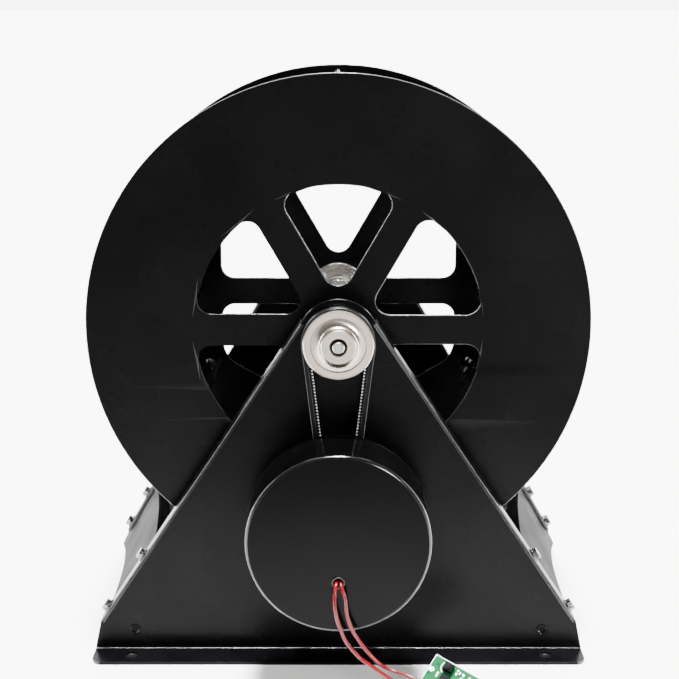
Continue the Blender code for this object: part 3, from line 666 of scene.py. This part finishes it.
def make_wheel_pulley():
    """Two flanges, a plain barrel, a shallow dish in front and a proud boss."""
    bore = 0.0043
    profile = [(bore, 0.0), (0.0211, 0.0), (0.0216, 0.0005), (0.0216, 0.0011), (0.0212, 0.0015),
               (0.0172, 0.0015), (0.0172, 0.0089), (0.0211, 0.0089), (0.0216, 0.0094),
               (0.0216, 0.0098), (0.0209, 0.0104), (0.0171, 0.0104), (0.0170, 0.0094),
               (0.0167, 0.0091), (0.0150, 0.0093), (0.0134, 0.0098), (0.0124, 0.0104),
               (0.0115, 0.0112), (0.0109, 0.0122), (0.0108, 0.0134), (0.0108, 0.0153),
               (0.0101, 0.0160), (0.0057, 0.0160), (0.0051, 0.0154), (0.0051, 0.0100), (bore, 0.0100)]
    mesh = turned(profile, along_y(in_front(0.0310), forward=-1), 128)
    new_piece("nickel_wheel_pulley", shade(mesh, 25), PULLEY_NICKEL, "wheel", "wheel_pulley")
    # A black ring between the shaft and the pulley's bore: painted shade in the gap between them
    bore_gap_ring = [(0.00375, 0.0035), (0.00405, 0.0), (0.0050, 0.0), (0.0050, 0.0050), (0.00375, 0.0048)]
    mesh = turned(bore_gap_ring, along_y(in_front(0.0411), forward=-1), 64)
    new_piece("dark_bore_bush", shade(mesh), SEAL_RUBBER_AND_SHADE, "wheel")


def make_collar():
    profile = soft_corners([(0.0043, 0.0), (0.008, 0.0), (0.008, 0.007), (0.0043, 0.007)], 0.0004)
    mesh = turned(profile, along_y(REAR_PLATE + 0.001), 64)
    new_piece("shaft_collar_ring", shade(mesh), SHAFT_STEEL, "wheel", "rear_shaft_collar")
    head = standing_on((0.0, REAR_PLATE + 0.0045, AXLE.z + 0.0079), (0, 0, 1))
    mesh = copied_to(socket_screw(0.002, 0.0032, 0.002), [head], BRIGHT_ZINC)
    new_piece("shaft_collar_screw", shade(mesh, 30), BRIGHT_ZINC, "wheel")


# Stands, folded from sheet
def bent_strip(first, second, into, fold, length):
    """The bend and the flat leg beyond it. It starts on the edge from first to second,
    heading along into, and turns to head along fold."""
    first, second, into, fold = (Vector(v) for v in (first, second, into, fold))
    shape = bmesh.new()
    rows = []
    for k in range(9):
        angle = math.pi / 2 * k / 8
        shift = into * (BEND * math.sin(angle)) + fold * (BEND * (1 - math.cos(angle)))
        rows.append([shape.verts.new(first + shift), shape.verts.new(second + shift)])
    if length:
        shift = into * BEND + fold * (BEND + length)
        rows.append([shape.verts.new(first + shift), shape.verts.new(second + shift)])
    for near, far in zip(rows, rows[1:]):
        shape.faces.new((near[0], near[1], far[1], far[0]))
    mesh = bpy.data.meshes.new("strip")
    shape.to_mesh(mesh)
    shape.free()
    return mesh


def make_stand(name, top, offset, slope, start, base, plate, outward, holes):
    """One stand as a single folded sheet, drawn at the middle of its thickness."""
    slant = Vector((math.sin(slope), math.cos(slope)))
    down = Vector((math.cos(slope), -math.sin(slope)))
    axle = Vector((0.0, AXLE.z))
    middle = plate - outward * SHEET / 2
    knee_z = 0.0208
    end = (offset * math.cos(slope) + AXLE.z - knee_z) / math.sin(slope)
    inner = offset - SHEET / 2 - BEND
    edge = [axle + slant * offset + down * start, axle + slant * inner + down * start,
            axle + slant * inner + down * end, axle + slant * offset + down * end]
    foot_z = SHEET / 2 + BEND
    half = [tuple(p) for p in top + edge] + [(base, foot_z)]
    outline = half + [(-x, z) for x, z in reversed(half)]
    parts = [flat_sheet([outline] + holes, upright(middle))]
    leg = 0.015 - SHEET / 2 - BEND
    for side in (-1, 1):
        high = (side * edge[1].x, middle, edge[1].y)
        low = (side * edge[2].x, middle, edge[2].y)
        parts.append(bent_strip(high, low, (side * slant.x, 0, slant.y), (0, -outward, 0), leg))
    far = plate + outward * 0.020
    start_y = middle + outward * BEND
    parts.append(bent_strip((-base, middle, foot_z), (base, middle, foot_z), (0, 0, -1), (0, outward, 0), 0))
    foot = rounded([(-base, start_y, 0), (base, start_y, 0), (base, far, 0.0065), (-base, far, 0.0065)], 8)
    slots = [circle((side * 0.133, plate + outward * 0.010), 0.004, 40) for side in (-1, 1)]
    parts.append(flat_sheet([foot] + slots, Matrix.Translation((0, 0, SHEET / 2))))
    skin = cleaned(joined(parts), 0.00005)
    mesh = with_modifiers(
        skin,
        ("SOLIDIFY", {"thickness": SHEET, "offset": 0.0}),
        ("WELD", {"merge_threshold": 0.00001}),
        ("BEVEL", {"width": 0.0006, "segments": 2, "limit_method": "ANGLE", "angle_limit": math.radians(50)}))
    piece = new_piece(name + "_sheet", shade(mesh, 30), POWDER_COAT, "stand", name)
    flats = [Vector((0, 1, 0)), Vector((0, 0, 1)), Vector((slant.x, 0, slant.y)), Vector((-slant.x, 0, slant.y))]

    def is_edge(normal, middle):
        """Bends, rounded edges and the free edges of the flanges."""
        free_edge = abs(normal.y) > 0.98 and middle.z > 0.02 and abs(middle.y - plate) > 0.010
        return free_edge or max(abs(normal.dot(flat)) for flat in flats) < 0.985

    finish_edges(piece, EDGE_COAT, is_edge)
    rims = []
    for side in (-1, 1):
        rim = soft_corners([(0.0027, -0.0004), (0.0040, 0.0), (0.0040, 0.0002), (0.0037, 0.0003),
                            (0.0027, -0.0002)], 0.00005, 2)
        rims.append(turned(rim, along_y(plate, side * 0.132, 0.0150, outward), 40))
    new_piece(name + "_hole_rims", shade(joined(rims)), POWDER_COAT, "stand")
    # Dark plugs in the upright holes and the foot slots: painted shade, in place of the shade seen through these holes
    shade_plugs = []
    for side in (-1, 1):
        dark = soft_corners([(0.0, -0.0020), (0.0026, -0.0020), (0.0026, -0.0004), (0.0023, -0.0016), (0.0, -0.0016)], 0.0001, 2)
        shade_plugs.append(turned(dark, along_y(plate, side * 0.132, 0.0150, outward), 32))
        pad = soft_corners([(0.0, 0.0002), (0.0039, 0.0002), (0.0039, 0.0012), (0.0030, 0.0014),
                            (0.0022, 0.0009), (0.0, 0.0009)], 0.0001, 2)
        shade_plugs.append(turned(pad, Matrix.Translation((side * 0.133, plate + outward * 0.010, 0.0)), 32))
    new_piece(name + "_rubber_plugs", shade(joined(shade_plugs)), SEAL_RUBBER_AND_SHADE, "stand")
    return piece


def make_front_stand():
    slope = math.radians(56.6)
    top = [Vector(p) for p in arc((0.0, AXLE.z), 0.025, math.pi / 2, math.pi / 2 - slope, 17)]
    holes = [circle((side * 0.132, 0.0150), 0.00275, 32) for side in (-1, 1)]
    holes.append(circle((0.0, AXLE.z), 0.005, 40))
    make_stand("front_stand", top, 0.025, slope, 0.0045, 0.1576, FRONT_PLATE, -1, holes)


def make_rear_stand():
    slope = math.radians(60.1)
    offset = 0.04525
    lug = 0.019
    shoulder = 0.003
    rise = math.asin(shoulder / lug)
    top = [Vector(p) for p in arc((0.0, AXLE.z), lug, math.pi / 2, rise, 15)]
    corner_x = (offset - shoulder * math.cos(slope)) / math.sin(slope)
    lower = (corner_x + 0.02 * math.cos(slope), AXLE.z + shoulder - 0.02 * math.sin(slope))
    bend = rounded([(0.02, AXLE.z + shoulder, 0), (corner_x, AXLE.z + shoulder, 0.008), (*lower, 0)], 8)
    top += [Vector(p) for p in bend[1:-1]]
    holes = [circle((side * 0.132, 0.0150), 0.00275, 32) for side in (-1, 1)]
    shade_plugs = []
    for side in (-1, 1):
        middle = side * 0.1275
        slot = arc((middle, 0.0425), 0.0020, 0.0, math.pi, 12)
        slot += arc((middle, 0.0325), 0.0020, math.pi, math.tau, 12)
        holes.append(slot)
        # A grey fill in each slot: painted shade in place of the shaded floor seen through it
        shade_plugs.append(flat_sheet([slot], upright(REAR_PLATE - 0.0010), 0.0014, 0.0001))
    new_piece("rear_slot_plugs", shade(joined(shade_plugs)), SLOT_SHADE_GREY, "stand")
    holes.append(circle((0.0, AXLE.z), 0.005, 40))
    make_stand("rear_stand", top, offset, slope, 0.0306, 0.1650, REAR_PLATE, 1, holes)


# Braces
BRACE_FRONT = (0.0700, 0.0215)
BRACE_REAR = (0.0580, 0.0105)


def slanted_point(side, share, height, lift, y):
    """A point on a brace: share runs from the front stand's slope to the rear one's."""
    offset = 0.025 + (0.04525 - 0.025) * share
    slope = math.radians(56.6 + 3.5 * share)
    x = (offset + (AXLE.z - height) * math.cos(slope)) / math.sin(slope)
    return Vector((side * (x + lift * math.sin(slope)), y, height + lift * math.cos(slope)))


def make_brace(name, side):
    """A side plate from flange to flange, its lower edge cut back in a curve."""
    front = FRONT_PLATE + 0.004
    front_bend = FRONT_PLATE + 0.015
    rear = REAR_PLATE - 0.004
    rear_bend = REAR_PLATE - 0.015
    stations = [(front, 0.0), (front + 0.005, 0.0), (front_bend, 0.0)]
    for k in range(1, 24):
        share = k / 24
        stations.append((front_bend + (rear_bend - front_bend) * share, share))
    stations += [(rear_bend, 1.0), (rear - 0.005, 1.0), (rear, 1.0)]
    shape = bmesh.new()
    rows = []
    rows_across = 6
    for y, share in stations:
        span = min(1.0, max(0.0, (y - front_bend) / (rear_bend - front_bend)))
        swell = math.sin(math.pi * span)
        high = BRACE_FRONT[0] + (BRACE_REAR[0] - BRACE_FRONT[0]) * span + 0.0040 * swell
        low = BRACE_FRONT[1] + (BRACE_REAR[1] - BRACE_FRONT[1]) * span + 0.0100 * swell
        row = []
        for k in range(rows_across + 1):
            height = high + (low - high) * k / rows_across
            row.append(shape.verts.new(slanted_point(side, share, height, -0.0033, y)))
        rows.append(row)
    for near, far in zip(rows, rows[1:]):
        for k in range(rows_across):
            shape.faces.new((near[k], near[k + 1], far[k + 1], far[k]))
    bmesh.ops.recalc_face_normals(shape, faces=shape.faces)
    mesh = bpy.data.meshes.new(name)
    shape.to_mesh(mesh)
    shape.free()
    mesh = with_modifiers(
        mesh,
        ("SOLIDIFY", {"thickness": SHEET, "offset": 0.0}),
        ("BEVEL", {"width": 0.0003, "segments": 2, "limit_method": "ANGLE", "angle_limit": math.radians(50)}))
    new_piece(name + "_sheet", shade(cleaned(mesh), 30), BRACE_COAT, "stand", name)


def make_brace_fasteners():
    """Two screws, washers and nuts where each brace meets each stand."""
    screw_places = []
    washer_places = []
    nut_places = []
    front_y = FRONT_PLATE + 0.0085
    rear_y = REAR_PLATE - 0.0085
    seats = [(0.0, front_y, 0.0630), (0.0, front_y, 0.0275), (1.0, rear_y, 0.0485), (1.0, rear_y, 0.0250)]
    for side in (-1, 1):
        for share, y, height in seats:
            slope = math.radians(56.6 + 3.5 * share)
            out = Vector((side * math.sin(slope), 0, math.cos(slope)))
            face = slanted_point(side, share, height, 0.0, y)
            back = slanted_point(side, share, height, -0.0043, y)
            washer_places.append(standing_on(face, out))
            screw_places.append(standing_on(face + out * 0.0007, out))
            nut_places.append(standing_on(back, -out))
    parts = [copied_to(hex_bolt(0.004, 0.0070, 0.0030, 0.010), screw_places, DARK_NICKEL),
             copied_to(washer(0.0021, 0.0046, 0.0008), washer_places, DARK_NICKEL),
             copied_to(nut(0.0070, 0.0032, 0.0020), nut_places, DARK_NICKEL)]
    new_piece("brace_bolts_and_nuts", shade(joined(parts), 30), DARK_NICKEL, "stand")


def make_bearing(name, inner_face, inward):
    """A ball bearing held to the stand: two steel rings and a dark seal between them."""
    start = inner_face + inward * 0.0003
    outer = soft_corners([(0.0095, 0.0), (0.0125, 0.0), (0.0125, 0.0070), (0.0095, 0.0070)], 0.0004)
    inner = soft_corners([(0.0043, 0.0), (0.0065, 0.0), (0.0065, 0.0070), (0.0043, 0.0070)], 0.0004)
    seal = [(0.0064, 0.0008), (0.0096, 0.0008), (0.0096, 0.0064), (0.0064, 0.0064)]
    place = along_y(start, forward=inward)
    rings = joined([turned(outer, place, 64), turned(inner, place, 64)])
    new_piece(name + "_rings", shade(rings), SHAFT_STEEL, "stand", name)
    new_piece(name + "_seal", shade(turned(seal, place, 64)), SEAL_RUBBER_AND_SHADE, "stand")


# Belt drive
def belt_outline(big, small):
    """A loop round the two pulleys' axes."""
    lean = math.asin((big - small) / (AXLE.z - GENERATOR_Z))
    top = arc((0.0, AXLE.z), big, -lean, math.pi + lean, 81)
    bottom = arc((0.0, GENERATOR_Z), small, math.pi + lean, math.tau - lean, 31)
    return top + bottom


def make_belt():
    """The belt's back as one band, with a tooth every 2 mm on its inner side and a painted highlight on each tooth's
    tip.
    """
    middle = in_front(0.0362)
    outer = belt_outline(0.0226, 0.0092)
    inner = belt_outline(0.0196, 0.0062)
    band = shade(flat_sheet([outer, inner], upright(middle), 0.006, 0.0005), 30)
    line = belt_outline(0.0188, 0.0054)
    length = sum((Vector(a) - Vector(b)).length for a, b in zip(line, line[1:] + line[:1]))
    count = round(length / 0.002)
    loop = bpy.data.meshes.new("loop")
    edges = [(i, (i + 1) % len(line)) for i in range(len(line))]
    loop.from_pydata([(x, middle, z) for x, z in line], edges, [])
    teeth = grown(loop, TEETH_ON_LOOP, BELT_RUBBER, Count=count, Pitch=length / count, Fill=0.56,
                  Height=0.0019, Width=0.0058)
    belt = new_piece("toothed_belt", shade(joined([band, teeth]), 30), BELT_RUBBER, "stand", "drive_belt")
    # The belt's edge faces take a lighter colour: a painted highlight along the belt's edges, besides their real gloss
    finish_edges(belt, BELT_EDGE_GLINT_AND_GROMMET, lambda normal, point: 0.15 < abs(normal.y) < 0.985)
    # Pale strips on the tooth tips: painted highlights that stand in for the glints on the teeth
    tips = bpy.data.meshes.new("tips")
    line = belt_outline(0.0179, 0.0045)
    tips.from_pydata([(x, middle - 0.0028, z) for x, z in line], edges, [])
    wear_and_sheen = grown(tips, TEETH_ON_LOOP, TOOTH_TIP_GLINT_PAINT, Count=count, Pitch=length / count, Fill=0.34,
                 Height=0.0008, Width=0.0007)
    new_piece("worn_tooth_tips", shade(wear_and_sheen, 30), TOOTH_TIP_GLINT_PAINT, "stand")


# Generator
def make_generator():
    """A spun drum with a wide rounded front edge and a hole for the leads."""
    radius = 0.056
    length = 0.0395
    fillet = 0.0024
    bend = arc((radius - fillet, length - fillet), fillet, 0.0, math.pi / 2, 17)
    profile = [(0.0, 0.0), (radius - 0.0012, 0.0), (radius - 0.0004, 0.0003), (radius, 0.0010)] + bend
    profile += [(0.0, length)]
    place = along_y(in_front(0.042), 0.0, GENERATOR_Z, -1)
    body = turned(profile, place, 192)
    hole = turned([(0.0, -0.009), (0.0034, -0.009), (0.0034, 0.002), (0.0, 0.002)],
                  along_y(in_front(0.0815), 0.0, GENERATOR_Z - 0.0235, -1), 48)
    cut = bpy.data.objects.new("cut", hole)
    bpy.context.scene.collection.objects.link(cut)
    mesh = with_modifiers(body, ("BOOLEAN", {"operation": "DIFFERENCE", "object": cut, "solver": "EXACT"}))
    bpy.data.objects.remove(cut)
    drum = new_piece("generator_drum", shade(cleaned(mesh), 30), DRUM_COAT, "stand", "generator_housing")
    finish_edges(drum, DRUM_EDGE, lambda normal, point: -0.985 < normal.y < -0.15)
    lip = soft_corners([(0.0556, 0.0), (0.0564, 0.0), (0.0564, 0.0009), (0.0556, 0.0009)], 0.0003)
    new_piece("generator_rear_lip", shade(turned(lip, place, 192), 40), DRUM_COAT, "stand")


def make_grommet():
    profile = [(0.0027, -0.006), (0.0031, -0.006), (0.0031, 0.0003), (0.0040, 0.0003),
               (0.0040, 0.0007), (0.0037, 0.0010), (0.0031, 0.0010), (0.0027, 0.0006)]
    mesh = turned(profile, along_y(in_front(0.0815), 0.0, GENERATOR_Z - 0.0235, -1), 48)
    return new_piece("rubber_lead_grommet", shade(mesh), BELT_EDGE_GLINT_AND_GROMMET, "stand", "lead_grommet")


# Leads and regulator board
def smooth_route(points, step):
    """Evenly spaced points on a Catmull-Rom curve through the route's points."""
    points = [Vector(p) for p in points]
    ends = [2 * points[0] - points[1]] + points + [2 * points[-1] - points[-2]]
    dense = []
    for i in range(1, len(ends) - 2):
        p0, p1, p2, p3 = ends[i - 1:i + 3]
        for k in range(20):
            t = k / 20
            b = (2 * p0 - 5 * p1 + 4 * p2 - p3) * t * t
            c = (3 * p1 - p0 - 3 * p2 + p3) * t ** 3
            dense.append((2 * p1 + (p2 - p0) * t + b + c) / 2)
    dense.append(points[-1])
    travelled = [0.0]
    for a, b in zip(dense, dense[1:]):
        travelled.append(travelled[-1] + (b - a).length)
    count = max(2, round(travelled[-1] / step))
    even = []
    k = 0
    for i in range(count + 1):
        target = travelled[-1] * i / count
        while k < len(travelled) - 2 and travelled[k + 1] < target:
            k += 1
        share = (target - travelled[k]) / (travelled[k + 1] - travelled[k])
        even.append(dense[k].lerp(dense[k + 1], share))
    return even, travelled[-1]


def board_frame():
    """Frame on the board's face at its upper corner: x and -y run along its edges."""
    lean = Matrix.Rotation(math.radians(37.0), 4, "X")
    turn = Matrix.Rotation(math.radians(-32.2), 4, "Z")
    return Matrix.Translation((0.0592, in_front(0.0865), 0.0284)) @ lean @ turn


HOLE_Z = GENERATOR_Z - 0.0235
LEFT_ROUTE = [
    (-0.00135, 0.0770, HOLE_Z), (-0.00135, 0.0833, HOLE_Z - 0.0001),
    (-0.0018, 0.0866, 0.0694), (-0.0023, 0.0884, 0.0644), (-0.0019, 0.0896, 0.0586),
    (-0.0008, 0.0900, 0.0524), (0.0013, 0.0900, 0.0459), (0.0039, 0.0900, 0.0394),
    (0.0078, 0.0900, 0.0335), (0.0129, 0.0905, 0.0279), (0.0183, 0.0920, 0.0244),
    (0.0237, 0.0940, 0.0213), (0.0308, 0.0970, 0.0175), (0.0375, 0.1006, 0.0150),
]
RIGHT_ROUTE = [
    (0.00135, 0.0770, HOLE_Z), (0.00135, 0.0833, HOLE_Z - 0.0001),
    (0.0024, 0.0864, 0.0697), (0.0040, 0.0880, 0.0652), (0.0048, 0.0885, 0.0568),
    (0.0060, 0.0890, 0.0512), (0.0081, 0.0890, 0.0454), (0.0111, 0.0885, 0.0400),
    (0.0141, 0.0885, 0.0354), (0.0178, 0.0890, 0.0307), (0.0220, 0.0900, 0.0263),
    (0.0268, 0.0910, 0.0226), (0.0321, 0.0925, 0.0206), (0.0369, 0.0945, 0.0199),
    (0.0418, 0.0970, 0.0193),
]


def make_lead(name, node, route, along):
    """A PVC covered lead as a smooth curve from the drum to the board's edge."""
    frame_of_board = board_frame()
    places = [(x, in_front(distance), z) for x, distance, z in route]
    places.append(tuple(frame_of_board @ Vector((-0.0003, -along, -0.0008))))
    points, length = smooth_route(places, 0.0016)
    curve = bpy.data.curves.new(name, "CURVE")
    curve.dimensions = "3D"
    curve.bevel_depth = 0.0012
    curve.bevel_resolution = 4
    curve.use_fill_caps = True
    spline = curve.splines.new("POLY")
    spline.points.add(len(points) - 1)
    for item, point in zip(spline.points, points):
        item.co = (*point, 1.0)
    spline.use_smooth = True
    lead = bpy.data.objects.new(name, curve)
    bpy.context.scene.collection.objects.link(lead)
    curve.materials.append(LEAD_PVC)
    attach(lead, "stand")
    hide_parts(node)
    return lead


def solder_mask():
    """Green solder mask over copper: the tracks show as a lighter, raised green."""
    material, tree, shader = new_material("green_solder_mask", "#013017", Roughness=0.45, Specular_IOR_Level=0.02)
    point = object_point(tree)
    cells = tree.nodes.new("ShaderNodeTexVoronoi")
    cells.distance = "MANHATTAN"
    cells.inputs["Scale"].default_value = 1000.0 / 5.5
    tree.links.new(point, cells.inputs["Vector"])
    mixed_colour(tree, cells.outputs["Distance"], shader.inputs["Base Color"], "#01321a", "#034a26", 0.30, 0.34)
    bump_to(tree, cells.outputs["Distance"], shader, 0.02, 0.2)
    return material


def make_board():
    """A two sided board with its screen printed marks, pads and parts."""
    mask = solder_mask()
    print_white = moulded("white_screen_print", "#d9dbd6", "#e6e8e3", 0.5, 0.3, 0.003)
    solder = plated("tinned_solder", "#e2e2de", "#b9b9b4", 0.26)
    place = board_frame()
    length, width, thick = 0.037, 0.029, 0.0016
    corners = rounded([(0.0, 0.0, 0.0006), (length, 0.0, 0.0006), (length, -width, 0.0006), (0.0, -width, 0.0006)], 3)
    holes = [circle((0.0344, -0.0262), 0.0012, 20), circle((0.0344, -0.0028), 0.0012, 20)]
    blank = flat_sheet([corners] + holes, place @ Matrix.Translation((0, 0, -thick / 2)), thick, 0.0001)
    board = new_piece("circuit_board", shade(blank), mask, "stand", "regulator_board")

    def lay(outline, height, lift):
        """A flat shape on the board's face, its bottom that far above it."""
        return flat_sheet(outline, place @ Matrix.Translation((0, 0, lift + height / 2)), height)

    def block(x, y, size, lift, turn=0.0, edge=0.0002):
        spot = Matrix.Translation((x, -y, lift + size[2] / 2)) @ Matrix.Rotation(turn, 4, "Z")
        return box(size, place @ spot, edge)

    rim = 0.00045
    marks = []
    marks.append(lay([[(0.0, 0.0), (length, 0.0), (length, -rim), (0.0, -rim)]], 0.00004, 0.0))
    marks.append(lay([[(0.0, -rim), (rim, -rim), (rim, -width), (0.0, -width)]], 0.00004, 0.0))
    bow = arc((0.0107, -0.0046), 0.0048, math.radians(150), math.radians(240), 14)
    bow += arc((0.0107, -0.0046), 0.0042, math.radians(240), math.radians(150), 14)
    marks.append(lay([bow], 0.00004, 0.0))
    for x, y, w, h in ((0.0066, 0.0112, 0.0010, 0.0036), (0.0225, 0.0085, 0.0040, 0.0004), (0.0225, 0.0150, 0.0040, 0.0004)):
        marks.append(block(x, y, (w, h, 0.00004), 0.0, 0.0, 0.0))
    new_piece("board_marks", joined(marks), print_white, "stand")
    pads = []
    for x, y in ((0.0022, 0.0100), (0.0022, 0.0205), (0.0022, 0.0262), (0.0344, 0.0150), (0.0344, 0.0205)):
        outline = [circle((x, -y), 0.0015, 28)]
        pads.append(lay(outline, 0.00006, 0.0))
        dome = soft_corners([(0.0, 0.00075), (0.0007, 0.0006), (0.0012, 0.0), (0.0, 0.0)], 0.0001, 2)
        pads.append(turned(dome, place @ Matrix.Translation((x, -y, 0.00005)), 24))
    for x, y in ((0.0165, 0.0030), (0.0165, 0.0052), (0.0205, 0.0038)):
        pads.append(block(x, y, (0.0012, 0.0016, 0.0003), 0.0))
    for k in range(4):
        pads.append(block(0.0157, 0.0101 + 0.0014 * k, (0.0018, 0.0006, 0.0004), 0.0001))
    new_piece("solder_pads", shade(joined(pads), 30), solder, "stand")
    case = [block(0.0107, 0.0046, (0.0060, 0.0056, 0.0030), 0.0003, 0.0, 0.0006)]
    disc = soft_corners([(0.0, 0.0034), (0.0021, 0.0034), (0.0021, 0.0), (0.0, 0.0)], 0.0003)
    case.append(turned(disc, place @ Matrix.Translation((0.0107, -0.0046, 0.0003)), 36))
    new_piece("coil_case", shade(joined(case), 30), CHIP_EPOXY, "stand", "board_inductor")
    chip = [block(0.0120, 0.0122, (0.0060, 0.0054, 0.0015), 0.0003, 0.0, 0.0003)]
    chip.append(block(0.0215, 0.0118, (0.0042, 0.0036, 0.0012), 0.0002, 0.0, 0.0003))
    new_piece("driver_chip", shade(joined(chip), 30), CHIP_EPOXY, "stand", "board_chip")
    small = []
    for x, y, turn in ((0.0181, 0.0041, 1.571), (0.0205, 0.0066, 0.0), (0.0245, 0.0040, 1.571),
                       (0.0060, 0.0182, 0.0), (0.0100, 0.0192, 1.571), (0.0140, 0.0192, 1.571), (0.0300, 0.0080, 0.0)):
        small.append(block(x, y, (0.0020, 0.0012, 0.0008), 0.0002, turn, 0.00015))
    new_piece("board_resistors", shade(joined(small), 30), CERAMIC, "stand")
    radius = 0.0032
    can = [(0.0, 0.0), (radius, 0.0), (radius, 0.0008), (radius - 0.0003, 0.0012), (radius, 0.0016),
           (radius, 0.0071), (radius - 0.0004, 0.0075), (0.0, 0.0075)]
    mesh = turned(can, place @ Matrix.Translation((0.0270, -0.0200, 0.0003)), 48)
    new_piece("capacitor_can", shade(mesh, 30), BRIGHT_ZINC, "stand", "board_capacitor")
    return board


def dress_node(name, material):
    """Keeps a CAD node whose shape is right and gives it a better finish."""
    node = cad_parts[name]
    node.data.materials.clear()
    node.data.materials.append(material)


make_disc("front_disc", FRONT_DISC, 1, False)
make_disc("rear_disc", REAR_DISC, -1, True)
make_vanes()
make_hub("front_hub", FRONT_DISC, 1)
make_hub("rear_hub", REAR_DISC, -1)
make_shaft()
make_wheel_pulley()
make_collar()
make_front_stand()
make_rear_stand()
make_brace("left_brace", -1)
make_brace("right_brace", 1)
make_brace_fasteners()
make_bearing("front_bearing", FRONT_PLATE + SHEET, 1)
make_bearing("rear_bearing", REAR_PLATE - SHEET, -1)
make_belt()
make_generator()
grommet = make_grommet()
make_board()
carried = ["circuit_board", "board_marks", "solder_pads", "coil_case", "driver_chip", "board_resistors", "capacitor_can"]
carried = [bpy.data.objects[name] for name in carried] + [grommet]
make_lead("left_red_lead", "left_lead", LEFT_ROUTE, 0.0265)
make_lead("right_red_lead", "right_lead", RIGHT_ROUTE, 0.0210)
dress_node("generator_back_plate", POWDER_COAT)
dress_node("generator_pulley", SMALL_NICKEL)
for number in (1, 2, 3, 4):
    dress_node("generator_spacer_%d" % number, BRIGHT_ZINC)


# Floor, light and camera
def make_floor():
    """A pale matt studio floor."""
    mesh = bpy.data.meshes.new("floor")
    reach = 150.0
    mesh.from_pydata([(-reach, -reach, 0), (reach, -reach, 0), (reach, reach, 0), (-reach, reach, 0)], [], [(0, 1, 2, 3)])
    floor = bpy.data.objects.new("studio_floor", mesh)
    bpy.context.scene.collection.objects.link(floor)
    material, tree, shader = new_material("pale_floor", "#f2f2f0", Roughness=0.9, Specular_IOR_Level=0.1)
    mesh.materials.append(material)


def make_world():
    """A studio that is pale behind the wheel and overhead, and dim in front of it."""
    world = bpy.data.worlds.new("studio")
    world.use_nodes = True
    tree = world.node_tree
    sky = tree.nodes["Background"]
    direction = tree.nodes.new("ShaderNodeTexCoord")
    parts = add(tree, "ShaderNodeSeparateXYZ", {0: direction.outputs["Generated"]})
    ramp_to(tree, parts.outputs["Y"], sky.inputs["Strength"], 0.30, 7.0, 0.10, 0.90)
    sky.inputs["Color"].default_value = (1.0, 1.0, 1.0, 1.0)
    bpy.context.scene.world = world


def make_light(name, place, target, size, power, spread=180.0):
    """A soft rectangular light that faces a target, with a grid that narrows its spread."""
    light = bpy.data.lights.new(name, "AREA")
    light.shape = "RECTANGLE"
    light.size, light.size_y = size
    light.energy = power
    light.spread = math.radians(spread)
    lamp = bpy.data.objects.new(name, light)
    lamp.location = place
    lamp.rotation_mode = "QUATERNION"
    lamp.rotation_quaternion = (Vector(target) - Vector(place)).to_track_quat("-Z", "Y")
    bpy.context.scene.collection.objects.link(lamp)


def make_camera():
    """The camera stands 840 mm in front of the wheel and looks down by 13.7 degrees."""
    data = bpy.data.cameras.new("camera")
    data.sensor_width = 36.0
    data.lens = 36.0 * 1365.0 / 679.0
    data.shift_x = 1.1 / 679.0
    data.clip_start = 0.05
    data.clip_end = 200.0
    camera = bpy.data.objects.new("camera", data)
    camera.location = (0.0, in_front(0.8402), AXLE.z + 0.1989)
    camera.rotation_euler = (math.pi / 2 - math.radians(13.717), 0.0, 0.0)
    bpy.context.scene.collection.objects.link(camera)
    bpy.context.scene.camera = camera


make_floor()
make_world()
make_light("overhead_grid_box", (0.0, 99.63, 2.0), (0.0, 99.63, 0.0), (300.0, 200.0), 1.7e6, 14.0)
make_light("left_strip", (-1.6, -0.05, 0.55), (0.0, 0.0, 0.15), (0.10, 1.0), 13.0)
make_light("right_strip", (1.6, -0.05, 0.55), (0.0, 0.0, 0.15), (0.10, 1.0), 13.0)
make_light("key_softbox", (0.75, -1.5, 0.65), (0.0, 0.0, 0.2), (0.35, 0.35), 30.0)
make_camera()
